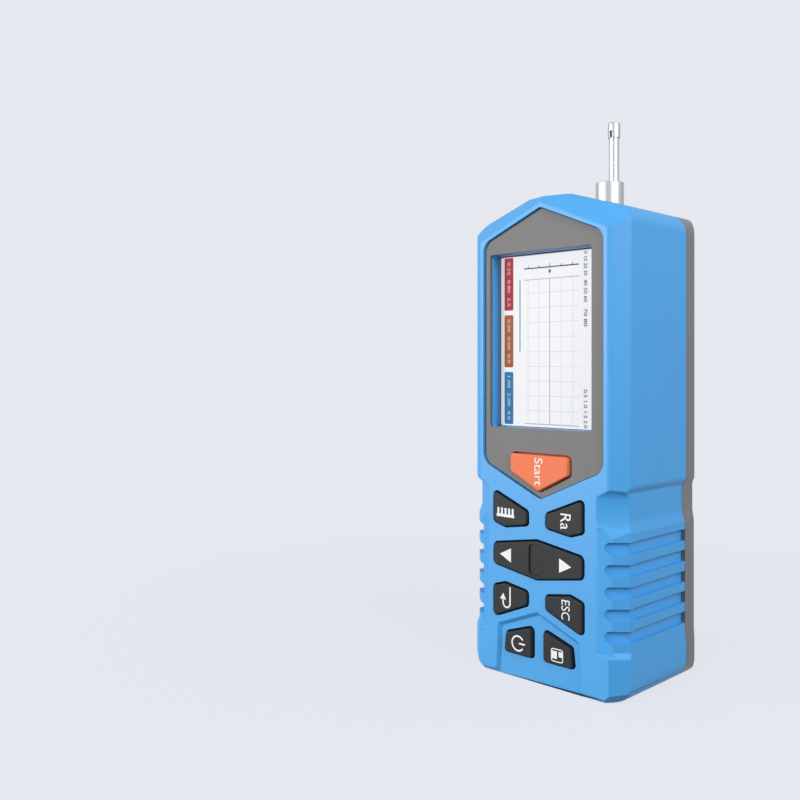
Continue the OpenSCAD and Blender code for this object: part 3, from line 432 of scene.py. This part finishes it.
def run_on(mesh, run, width):
    """Gives rounded edges that follow each other with a slight bend the least width
    of their line, so that no spike forms between them. Along one straight line the
    width may change.
    """
    ends = read(mesh.edges, "vertices", np.int32, 2).ravel()
    used = np.flatnonzero(np.repeat(width > 0, 2))
    used = used[np.argsort(ends[used], kind="stable")]
    point, edge = ends[used], used // 2
    way = run / (np.linalg.norm(run, axis=1)[:, None] + TINY)
    pairs = []
    for k in range(1, EDGES_AT_POINT):
        a, b = edge[:-k], edge[k:]
        line = np.abs(np.einsum("ij,ij->i", way[a], way[b]))
        bent = line > math.cos(math.radians(BEND_ANGLE))
        bent &= line < math.cos(math.radians(STRAIGHT_ANGLE))
        keep = (point[:-k] == point[k:]) & bent
        pairs.append(np.stack([a[keep], b[keep]], 1))
    a, b = np.concatenate(pairs).T
    width = width.copy()
    for _ in range(RUN_STEPS):
        before = width.copy()
        least = np.minimum(width[a], width[b])
        np.minimum.at(width, a, least)
        np.minimum.at(width, b, least)
        if np.array_equal(before, width):
            break
    return width


def soft_copy(node, name, widths, material, segments=3, upright=math.inf):
    """A merged copy of a node with its flat faces joined and its sharp edges rounded.
    widths(mid, run, angle) gives each edge's rounding in millimetres. Edges that rise
    by more than upright millimetres may narrow towards their ends.
    """
    bm = bmesh.new()
    bm.from_mesh(NODES[node].data)
    bmesh.ops.remove_doubles(bm, verts=bm.verts, dist=2e-6)
    bmesh.ops.dissolve_limit(
        bm, angle_limit=math.radians(FLAT_ANGLE), use_dissolve_boundaries=False, verts=bm.verts, edges=bm.edges
    )
    mesh = bpy.data.meshes.new(name)
    bm.to_mesh(mesh)
    mid, run, angle = edge_facts(mesh)
    wished = widths(mid, run, angle)
    width = run_on(mesh, run, np.minimum(wished, room(mesh, run)))
    held = (np.abs(run[:, 2]) > upright) & (width < SHORT_SHARE * wished)
    bm.edges.ensure_lookup_table()
    for edge in [bm.edges[i] for i in np.flatnonzero(held)]:
        part = END_LENGTH * MM / edge.calc_length()
        near, far = edge.verts
        bmesh.utils.edge_split(edge, near, part)
        bmesh.utils.edge_split(edge, far, part / (1 - part))
    bm.to_mesh(mesh)
    bm.free()
    mid, run, angle = edge_facts(mesh)
    width = run_on(mesh, run, np.minimum(widths(mid, run, angle), room(mesh, run)))
    widest = max(float(width.max()), 1e-6)
    layer = mesh.attributes.new("bevel_weight_edge", "FLOAT", "EDGE")
    layer.data.foreach_set("value", (width / widest).astype(np.float32))
    mesh.shade_smooth()
    piece = add_piece(name, mesh, material, BODY_OF[node])
    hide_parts(node)
    bevel = piece.modifiers.new("Rounding", "BEVEL")
    bevel.limit_method = "WEIGHT"
    bevel.offset_type = "OFFSET"
    bevel.width = widest * MM
    bevel.segments = segments
    bevel.use_clamp_overlap = False
    bevel.loop_slide = False
    even = piece.modifiers.new("Shading", "WEIGHTED_NORMAL")
    even.mode = "FACE_AREA"
    even.weight = 50
    even.keep_sharp = True
    return piece


def in_hollow(mid):
    """True for points inside the hollow of the shells."""
    x, d, z = np.abs(mid[:, 0]), mid[:, 1] - FACE_Y, mid[:, 2]
    roof = HOLLOW_EAVE + HOLLOW_SLOPE * (HOLLOW_HALF - x)
    return (x < HOLLOW_HALF) & (d > HOLLOW_DEPTH) & (z > HOLLOW_FLOOR) & (z < roof)


def where_rounded(width, place, value):
    """Another width for the edges of one place, among those that are rounded at all."""
    return np.where(place & (width > 0), value, width)


def housing_widths(mid, run, angle):
    """Rounding of the front shell's edges by where they lie: wide on the main form,
    finer in the grooves, at the openings and along the seam.
    """
    s = bpy.context.scene.tester_sizes
    x, d, z = np.abs(mid[:, 0]), mid[:, 1] - FACE_Y, mid[:, 2]
    width = np.where(angle > EDGE_ANGLE, s.case_edge / MM, 0)
    groove = (x > GRIP_HALF) & (z > GRIP_LOW) & (z < GRIP_HIGH) & (d > GRIP_DEPTH)
    width = where_rounded(width, groove, s.groove_edge / MM)
    crown = (x < CROWN_HALF) & (z > CROWN_LOW)
    ridge = crown & (d > RIDGE_DEPTH) & (angle < RIDGE_ANGLE)
    width = np.where(ridge, 0, width)
    bore = crown & (d > BORE_DEPTH)
    width = np.where(bore, np.minimum(width, BORE_EDGE), width)
    rim = (x < PANEL_HALF) & (d < HOLLOW_DEPTH) & (z < PANEL_HIGH) & (z > KEYS_LOW)
    rim &= ~((x > KEYS_HALF) & (z < PANEL_LOW))
    rim &= ~(z > PANEL_HIGH + PANEL_SPARE - PANEL_SLOPE * x)
    width = where_rounded(width, rim, s.rim_edge / MM)
    seam = np.abs(mid[:, 1] - SEAM_Y) < SEAM_REACH
    width = where_rounded(width, seam, s.seam_edge / MM)
    socket = (x < SOCKET_HALF) & (z < SOCKET_HIGH) & (d > SOCKET_NEAR) & (d < SOCKET_FAR)
    width = where_rounded(width, socket, HOLE_EDGE)
    return np.where(in_hollow(mid), 0, width)


def cover_widths(mid, run, angle):
    """Rounding of the back cover's edges: wide outside, fine along the seam and round the screw holes."""
    s = bpy.context.scene.tester_sizes
    x, z = np.abs(mid[:, 0]), mid[:, 2]
    width = np.where(angle > EDGE_ANGLE, COVER_SHARE * s.case_edge / MM, 0)
    seam = mid[:, 1] - SEAM_Y < SEAM_REACH
    width = where_rounded(width, seam, s.seam_edge / MM)
    holes = (x < COVER_HALF) & (z > COVER_LOW) & (z < COVER_HIGH)
    width = where_rounded(width, holes, HOLE_EDGE)
    return np.where(in_hollow(mid), 0, width)


def even_widths(millimetres, least=EDGE_ANGLE):
    """The same rounding on every edge sharper than a least angle."""
    return lambda mid, run, angle: np.where(angle > least, millimetres, 0)


def key_widths(mid, run, angle):
    """Rounding on the part of a key that shows, none on its flange and plunger."""
    s = bpy.context.scene.tester_sizes
    return np.where((angle > KEY_ANGLE) & (mid[:, 1] - FACE_Y < KEYS_DEPTH), s.key_edge / MM, 0)


def stacked(*rings):
    """Points of outlines in X and Z, each set at its own Y, one after the other."""
    return np.concatenate([
        np.stack([line[:, 0], np.full(len(line), y), line[:, 1]], 1) for line, y in rings
    ])


def plate(outline, y_out, y_in):
    """Flat plate: an outline in X and Z, carried straight from one Y to another.
    Quads join the two rings, and the two ends are one face each.
    """
    outline = np.asarray(outline, float)
    n = len(outline)
    ring = np.arange(n)
    nxt = np.roll(ring, -1)
    faces = [ring.tolist(), (ring[::-1] + n).tolist()]
    faces += np.stack([ring + n, nxt + n, nxt, ring], 1).tolist()
    return stacked((outline, y_out), (outline, y_in)), faces


def band(outer, inner, y_out, y_in):
    """Flat ring: the quads between an outer and an inner outline with the same
    number of points, carried from one Y to another.
    """
    n = len(outer)
    ring = np.arange(n)
    nxt = np.roll(ring, -1)
    top = np.stack([ring, nxt, nxt + n, ring + n], 1)
    low = np.stack([ring + 2 * n, ring + 3 * n, nxt + 3 * n, nxt + 2 * n], 1)
    out = np.stack([ring + 2 * n, nxt + 2 * n, nxt, ring], 1)
    ins = np.stack([ring + n, nxt + n, nxt + 3 * n, ring + 3 * n], 1)
    points = stacked((outer, y_out), (inner, y_out), (outer, y_in), (inner, y_in))
    return points, np.concatenate([top, low, out, ins]).tolist()


def rounded(x0, z0, x1, z1, r):
    """Rectangle with round corners as an outline, counter-clockwise seen from the
    front: four quarter circles, one after the other.
    """
    corners = ((x1 - r, z1 - r, 0), (x0 + r, z1 - r, 90), (x0 + r, z0 + r, 180), (x1 - r, z0 + r, 270))
    return np.concatenate([arc(cx, cz, r, a, a + 90, 6) for cx, cz, a in corners])


def arc(cx, cz, r, a0, a1, steps):
    """Points along an arc, from one angle to another in degrees."""
    a = np.radians(np.linspace(a0, a1, steps))
    return np.stack([cx + r * np.cos(a), cz + r * np.sin(a)], 1)


def stroke(path, width):
    """Outline of a line of even width: the path's points moved to both sides along
    its normals, the far side in reverse, with half-round ends.
    """
    path = np.asarray(path, float)
    run = np.gradient(path, axis=0)
    run /= np.linalg.norm(run, axis=1)[:, None]
    side = width / 2 * np.stack([-run[:, 1], run[:, 0]], 1)
    ahead = width / 2 * run
    turn = np.linspace(0, math.pi, 7)[1:-1, None]
    end = path[-1] - np.cos(turn) * side[-1] + np.sin(turn) * ahead[-1]
    begin = path[0] + np.cos(turn) * side[0] - np.sin(turn) * ahead[0]
    return np.concatenate([path - side, end, (path + side)[::-1], begin])


def box_outline(x0, z0, x1, z1):
    """Plain rectangle as an outline."""
    return np.array([(x0, z0), (x1, z0), (x1, z1), (x0, z1)], float)


def lettering(text, x0, x1, z_start, z_end, y_out, y_in, weight=0.0):
    """Text turned a quarter clockwise, so that it reads downwards: its own X runs to
    -Z, its own Y to +X. It is made a mesh, then stretched to fill the box.
    """
    curve = bpy.data.curves.new("text", "FONT")
    curve.body = text
    curve.resolution_u = 6
    curve.extrude = 0.5
    curve.offset = weight
    holder = bpy.data.objects.new("text", curve)
    bpy.context.scene.collection.objects.link(holder)
    made = bpy.data.meshes.new_from_object(holder.evaluated_get(bpy.context.evaluated_depsgraph_get()))
    bpy.data.objects.remove(holder)
    bpy.data.curves.remove(curve)
    flat = read(made.vertices, "co", np.float32, 3).astype(float)
    faces = [list(p.vertices) for p in made.polygons]
    bpy.data.meshes.remove(made)
    low, high = flat.min(0), flat.max(0)
    unit = (flat - low) / (high - low)
    points = np.stack([
        x0 + unit[:, 1] * (x1 - x0),
        y_in + unit[:, 2] * (y_out - y_in),
        z_start + unit[:, 0] * (z_end - z_start),
    ], 1)
    return points, faces


def joined_mesh(name, parts):
    """One mesh of several (points, faces) parts in millimetres, with doubles merged and normals outward."""
    points, faces, base = [], [], 0
    for p, f in parts:
        points.append(p)
        faces += [[i + base for i in face] for face in f]
        base += len(p)
    mesh = bpy.data.meshes.new(name)
    mesh.from_pydata((np.concatenate(points) * MM).tolist(), [], faces)
    bm = bmesh.new()
    bm.from_mesh(mesh)
    bmesh.ops.remove_doubles(bm, verts=bm.verts, dist=2e-7)
    bmesh.ops.recalc_face_normals(bm, faces=bm.faces)
    bm.to_mesh(mesh)
    bm.free()
    mesh.validate()
    return mesh


# Operators


class TESTER_OT_finishes(bpy.types.Operator):
    """Gives every solid the finish of its slot"""

    bl_idname = "tester.finishes"
    bl_label = "Finishes"

    def execute(self, context):
        for node, piece in NODES.items():
            material = slot_finish(SLOT_OF[node])
            piece.data.materials.clear()
            piece.data.materials.append(material)
        return {"FINISHED"}


class TESTER_OT_shells(bpy.types.Operator):
    """Rounds the edges of the two shells and the panel"""

    bl_idname = "tester.shells"
    bl_label = "Shells"

    def execute(self, context):
        s = context.scene.tester_sizes
        soft_copy(
            "front_housing", "soft_housing", housing_widths, slot_finish("case_blue"), upright=UPRIGHT_LENGTH
        )
        soft_copy("rear_cover", "soft_cover", cover_widths, slot_finish("cover_grey"))
        soft_copy("front_panel", "soft_panel", even_widths(s.panel_edge / MM), slot_finish("panel_grey"), 2)
        return {"FINISHED"}


class TESTER_OT_keys(bpy.types.Operator):
    """Rounds the edges of the button, the keys and the rocker, and sets their tops back for the print"""

    bl_idname = "tester.keys"
    bl_label = "Keys"

    def execute(self, context):
        for node in KEY_NODES:
            piece = soft_copy(node, f"soft_{node}", key_widths, slot_finish(SLOT_OF[node]))
            y = read(piece.data.vertices, "co", np.float32, 3)[:, 1]
            top = np.flatnonzero(y < y.min() + TOP_REACH * MM)
            piece.vertex_groups.new(name="Top").add(top.tolist(), 1.0, "REPLACE")
            back = piece.modifiers.new("Top set back", "DISPLACE")
            back.vertex_group = "Top"
            back.direction = "Y"
            back.mid_level = 0.0
            back.strength = context.scene.tester_sizes.print_height + TOP_SPARE * MM
            piece.modifiers.move(len(piece.modifiers) - 1, 0)
        return {"FINISHED"}


class TESTER_OT_pickup(bpy.types.Operator):
    """Rounds the edges of the turned steel pickup and its skid"""

    bl_idname = "tester.pickup"
    bl_label = "Pickup"

    def execute(self, context):
        widths = even_widths(TURNED_EDGE, TURNED_ANGLE)
        for node in TURNED_NODES:
            soft_copy(node, f"soft_{node}", widths, slot_finish("steel"), 2)
        return {"FINISHED"}


class TESTER_OT_display(bpy.types.Operator):
    """Fits the clear lens, draws the marks of the display, and lays a dark band of painted shade round the
    screen's edge
    """

    bl_idname = "tester.display"
    bl_label = "Display"

    def execute(self, context):
        c, s = context.scene.tester_colours, context.scene.tester_sizes
        low, high = LENS_BOX
        lens = joined_mesh("clear_lens", [plate(
            rounded(low[0], low[2], high[0], high[2], LENS_CORNER), low[1], high[1] - 2 * s.screen_print / MM
        )])
        piece = add_piece("clear_lens", lens, slot_finish("lens"), BODY_OF["display_lens"])
        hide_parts("display_lens")
        y_in = SCREEN_Y - SCREEN_SPARE
        step = s.screen_print / MM / 2

        def marks(name, rgb, parts):
            material = lit(name, tuple(rgb), 0.35, 0.42, MARK_GLOW)
            add_piece(name, joined_mesh(name, parts), material, BODY_OF["display_module"])

        def flat(outline, level=1):
            return plate(outline, y_in - level * step, y_in)

        blocks = {
            "screen_block_red": (c.block_red, 109.5, 125.5, "0.25  0.80  2.5"),
            "screen_block_orange": (c.block_orange, 92.2, 108.1, "0.00  0.00  0.0"),
            "screen_block_blue": (c.block_blue, 74.9, 90.8, "1.00  2.00  4.0"),
        }
        figures = []
        for name, (rgb, z0, z1, text) in blocks.items():
            marks(name, rgb, [flat(rounded(-16.95, z0, -13.55, z1, 0.5))])
            figures.append(
                lettering(text, -15.75, -14.7, z1 - 1.3, z0 + 1.3, y_in - 2 * step, y_in - 0.9 * step)
            )
        marks("screen_figures", (0.72, 0.66, 0.64), figures)
        marks("screen_level", c.plot_teal, [
            flat(box_outline(-11.2, 97.0, -10.85, 118.5)),
            flat([(-0.1, 119.7), (0.45, 120.5), (-0.1, 121.3), (-0.65, 120.5)]),
            flat(box_outline(-0.22, 121.95, 0.02, 122.9)),
        ])
        marks("screen_axis", c.screen_dark, [flat(box_outline(-9.5, 121.58, 10.1, 121.94))] + [
            flat(box_outline(x - 0.12, 121.95, x + 0.12, 122.5)) for x in (-7.9, -4.0, 4.0, 7.9)
        ])
        marks("screen_lines", c.screen_grey, [
            flat(box_outline(-9.5, 118.24, 10.2, 118.48)),
            flat(box_outline(-9.2, 75.2, 10.1, 75.5)),
            flat(box_outline(-0.25, 75.51, 0.03, 118.23)),
        ])
        grid = [flat(box_outline(x - 0.11, 75.51, x + 0.11, 118.23), 0.6) for x in (-8.0, -4.0, 3.9, 7.9)]
        grid += [
            flat(box_outline(-9.0, z - 0.1, 10.0, z + 0.1), 0.5) for z in np.arange(79.3, 118, 4.38)
        ]
        marks("screen_grid", c.screen_faint, grid)
        columns = [
            lettering(text, 11.7, 12.9, z0, z1, y_in - step, y_in, 0.012)
            for text, z0, z1 in (
                ("0 10 20 30", 125.3, 118.3), ("40 50 60", 117.2, 110.8), ("70 80", 108.9, 103.8),
                ("0.5 1.0", 85.9, 80.6), ("1.5 2.0", 79.6, 74.9),
            )
        ]
        marks("screen_columns", c.screen_dark, columns)
        # Dark band round the screen's edge, widest at the top and narrowest at the bottom: painted shade that
        # stands in for the shadow under the window's upper and side edges
        edge = rounded(low[0] - 0.1, low[2] - 0.1, high[0] + 0.1, high[2] + 0.1, LENS_CORNER)
        inner = rounded(low[0] + 0.3, low[2] + 0.12, high[0] - 0.3, high[2] - 0.45, 0.4)
        marks("screen_shade_band", (0.03, 0.06, 0.14), [band(edge, inner, y_in - step, y_in)])
        return {"FINISHED"}


class TESTER_OT_legends(bpy.types.Operator):
    """Prints the white legends on the keys"""

    bl_idname = "tester.legends"
    bl_label = "Legends"

    def execute(self, context):
        s = context.scene.tester_sizes
        white = legend_finish()

        def levels(node):
            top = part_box(node)[0].y / MM + TOP_SPARE
            return top, top + (s.print_height + s.print_root) / MM

        def printed(node, name, outlines, rings=()):
            parts = [band(*r, *levels(node)) for r in rings] + [plate(o, *levels(node)) for o in outlines]
            add_piece(name, joined_mesh(name, parts), white, BODY_OF[node])

        def worded(node, name, text, x0, x1, z_start, z_end):
            part = lettering(text, x0, x1, z_start, z_end, *levels(node))
            add_piece(name, joined_mesh(name, [part]), white, BODY_OF[node])

        tooth = np.array([(0.36, 48.35), (0.36, 50.2), (-0.36, 50.2), (-0.36, 48.35)])
        teeth = [tooth + (x, 0) for x in np.linspace(-9.45, -14.85, 5)]
        comb = np.concatenate([[(-15.5, 48.35), (-15.5, 47.5), (-8.9, 47.5), (-8.9, 48.35)], *teeth])
        printed("ruler_key", "legend_ruler", [comb])
        worded("parameter_key", "legend_parameter", "Ra", 7.55, 11.1, 50.85, 46.3)
        left = [(-14.25, 36.3), (-10.1, 34.2), (-10.1, 38.4)]
        right = [(11.25, 36.0), (7.15, 38.0), (7.15, 33.9)]
        printed("arrow_rocker", "legend_arrows", [left, right])
        hook = np.concatenate([
            np.stack([np.full(6, -10.45), np.linspace(26.6, 21.9, 6)], 1),
            arc(-11.75, 21.9, 1.3, 0, -180, 14)[1:],
            np.array([(-13.05, 22.4), (-13.05, 22.84)]),
        ])
        head = [(-13.05, 24.75), (-14.15, 22.85), (-11.95, 22.85)]
        printed("enter_key", "legend_enter", [stroke(hook, 0.5), head])
        worded("escape_key", "legend_escape", "ESC", 7.95, 10.75, 26.45, 20.9)
        ring = stroke(arc(-7.9, 10.55, 2.15, 40, 320, 34), 0.5)
        bar = stroke([(-7.3, 10.6), (-6.4, 10.6), (-5.5, 10.6)], 0.5)
        printed("power_key", "legend_power", [ring, bar])
        card = (rounded(4.0, 8.1, 8.15, 11.95, 0.7), rounded(4.3, 8.4, 7.85, 11.65, 0.45))
        label, shutter = box_outline(4.31, 9.0, 6.05, 11.2), box_outline(6.65, 9.7, 7.84, 11.25)
        printed("save_key", "legend_save", [label, shutter], [card])
        worded("start_button", "legend_start", "Start", -1.7, 1.2, 65.9, 57.9)
        return {"FINISHED"}


class TESTER_OT_stage(bpy.types.Operator):
    """Builds the pale floor, the light and the camera"""

    bl_idname = "tester.stage"
    bl_label = "Stage"

    def execute(self, context):
        scene, st = context.scene, context.scene.studio
        scene.view_settings.view_transform = "Standard"
        pale = tuple(st.backdrop)
        self.world(scene, pale, st.world_level)
        self.floor(pale)
        self.lamp("key_light", st.key_power, (-0.48, -0.80, 0.20), 0.3, (0.0, 0.0, 0.085))
        self.lamp("fill_light", st.fill_power, (0.40, -0.10, 0.29), 0.3, (0.0, 0.0, 0.1))
        self.lamp("top_light", st.top_power, (0.05, 0.1, 0.85), 0.6, (0.0, 0.0, 0.1))
        eye = bpy.data.cameras.new("photo_camera")
        eye.lens, eye.sensor_width, eye.shift_y = st.lens, 36, st.shift
        eye.clip_start, eye.clip_end = 0.01, 20
        camera = bpy.data.objects.new("photo_camera", eye)
        camera.location = st.camera_at
        camera.rotation_euler = (math.pi / 2, 0, st.camera_turn)
        scene.collection.objects.link(camera)
        scene.camera = camera
        return {"FINISHED"}

    def world(self, scene, pale, level):
        """Pale where it is seen, and an even soft light on everything else."""
        world = bpy.data.worlds.new("studio_world")
        scene.world = world
        world.use_nodes = True
        tree = world.node_tree
        tree.nodes.clear()
        shown, light = (tree.nodes.new("ShaderNodeBackground") for _ in range(2))
        shown.inputs["Color"].default_value = (*pale, 1)
        light.inputs["Color"].default_value = (0.97, 0.98, 1.0, 1)
        light.inputs["Strength"].default_value = level
        mix, out = tree.nodes.new("ShaderNodeMixShader"), tree.nodes.new("ShaderNodeOutputWorld")
        tree.links.new(self.seen(tree), mix.inputs[0])
        tree.links.new(light.outputs[0], mix.inputs[1])
        tree.links.new(shown.outputs[0], mix.inputs[2])
        tree.links.new(mix.outputs[0], out.inputs[0])

    def seen(self, tree):
        """1 for rays that show the stage itself: from the camera, by reflection or through glass."""
        path = tree.nodes.new("ShaderNodeLightPath")
        first, second = tree.nodes.new("ShaderNodeMath"), tree.nodes.new("ShaderNodeMath")
        first.operation = second.operation = "MAXIMUM"
        tree.links.new(path.outputs["Is Camera Ray"], first.inputs[0])
        tree.links.new(path.outputs["Is Glossy Ray"], first.inputs[1])
        tree.links.new(first.outputs[0], second.inputs[0])
        tree.links.new(path.outputs["Is Transmission Ray"], second.inputs[1])
        return second.outputs[0]

    def floor(self, pale):
        """Disc of floor: rings of points whose radius grows by squares round a fan of
        triangles.
        """
        rings, spokes = FLOOR_RINGS, FLOOR_SPOKES
        r = FLOOR_RADIUS * (np.arange(1, rings + 1) / rings) ** 2
        a = np.linspace(0, 2 * math.pi, spokes, endpoint=False)
        points = np.zeros((rings * spokes + 1, 3))
        points[1:, 0] = (r[:, None] * np.cos(a)).ravel()
        points[1:, 1] = (r[:, None] * np.sin(a)).ravel()
        i, j = np.meshgrid(np.arange(rings - 1), np.arange(spokes), indexing="ij")
        near, k = 1 + i * spokes, (j + 1) % spokes
        far = near + spokes
        quads = np.stack([near + j, far + j, far + k, near + k], -1)
        ring = np.arange(spokes)
        fan = np.stack([np.zeros(spokes, int), 1 + ring, 1 + (ring + 1) % spokes], 1)
        mesh = bpy.data.meshes.new("studio_floor")
        mesh.from_pydata(points.tolist(), [], quads.reshape(-1, 4).tolist() + fan.tolist())
        floor = bpy.data.objects.new("studio_floor", mesh)
        bpy.context.scene.collection.objects.link(floor)
        mesh.materials.append(self.floor_finish(pale))

    def floor_finish(self, pale):
        """Takes light and shadow near the tester, fades to the backdrop's own tone
        further out, and throws little light back.
        """
        material = bpy.data.materials.new("studio_floor")
        material.use_nodes = True
        tree = material.node_tree
        shader = tree.nodes["Principled BSDF"]
        shader.inputs["Base Color"].default_value = (*pale, 1)
        shader.inputs["Roughness"].default_value = 0.9
        shader.inputs["Specular IOR Level"].default_value = 0.1
        glow = tree.nodes.new("ShaderNodeEmission")
        glow.inputs["Color"].default_value = (*pale, 1)
        place = tree.nodes.new("ShaderNodeTexCoord")
        far = tree.nodes.new("ShaderNodeVectorMath")
        far.operation = "LENGTH"
        fade = tree.nodes.new("ShaderNodeMapRange")
        fade.interpolation_type = "SMOOTHSTEP"
        fade.inputs["From Min"].default_value = FADE_NEAR
        fade.inputs["From Max"].default_value = FADE_FAR
        fade.inputs["To Min"].default_value = FADE_LEAST
        mix = tree.nodes.new("ShaderNodeMixShader")
        tree.links.new(place.outputs["Object"], far.inputs[0])
        tree.links.new(far.outputs["Value"], fade.inputs["Value"])
        tree.links.new(fade.outputs["Result"], mix.inputs[0])
        tree.links.new(shader.outputs[0], mix.inputs[1])
        tree.links.new(glow.outputs[0], mix.inputs[2])
        dull, both = tree.nodes.new("ShaderNodeBsdfDiffuse"), tree.nodes.new("ShaderNodeMixShader")
        dull.inputs["Color"].default_value = (0.08, 0.085, 0.09, 1)
        tree.links.new(self.seen(tree), both.inputs[0])
        tree.links.new(dull.outputs[0], both.inputs[1])
        tree.links.new(mix.outputs[0], both.inputs[2])
        tree.links.new(both.outputs[0], tree.nodes["Material Output"].inputs["Surface"])
        return material

    def lamp(self, name, power, at, size, aim):
        """Square soft light that looks at a point."""
        light = bpy.data.lights.new(name, "AREA")
        light.energy, light.size = power, size
        lamp = bpy.data.objects.new(name, light)
        lamp.location = at
        lamp.visible_camera = False
        lamp.rotation_euler = (Vector(aim) - Vector(at)).to_track_quat("-Z", "Y").to_euler()
        bpy.context.scene.collection.objects.link(lamp)


class TESTER_PT_panel(bpy.types.Panel):
    """Lists the steps and the settings"""

    bl_idname = "TESTER_PT_panel"
    bl_label = "Roughness tester"
    bl_space_type = "VIEW_3D"
    bl_region_type = "UI"
    bl_category = "Tester"

    def draw(self, context):
        column = self.layout.column()
        for step in STEPS:
            column.operator(step.bl_idname)
        for group in (context.scene.tester_colours, context.scene.tester_sizes, context.scene.studio):
            for key in group.__annotations__:
                column.prop(group, key)


STEPS = (
    TESTER_OT_finishes, TESTER_OT_shells, TESTER_OT_keys, TESTER_OT_pickup,
    TESTER_OT_display, TESTER_OT_legends, TESTER_OT_stage,
)
GROUPS = (TesterColours, TesterSizes, StudioSettings)


def register():
    """Registers the settings, the steps and the panel."""
    for cls in (*GROUPS, *STEPS, TESTER_PT_panel):
        bpy.utils.register_class(cls)
    bpy.types.Scene.tester_colours = bpy.props.PointerProperty(type=TesterColours)
    bpy.types.Scene.tester_sizes = bpy.props.PointerProperty(type=TesterSizes)
    bpy.types.Scene.studio = bpy.props.PointerProperty(type=StudioSettings)


def unregister():
    """Takes back what register added."""
    del bpy.types.Scene.studio, bpy.types.Scene.tester_sizes, bpy.types.Scene.tester_colours
    for cls in reversed((*GROUPS, *STEPS, TESTER_PT_panel)):
        bpy.utils.unregister_class(cls)


def main():
    """Runs every step in order."""
    register()
    bpy.ops.tester.finishes()
    bpy.ops.tester.shells()
    bpy.ops.tester.keys()
    bpy.ops.tester.pickup()
    bpy.ops.tester.display()
    bpy.ops.tester.legends()
    bpy.ops.tester.stage()


if __name__ == "__main__":
    main()
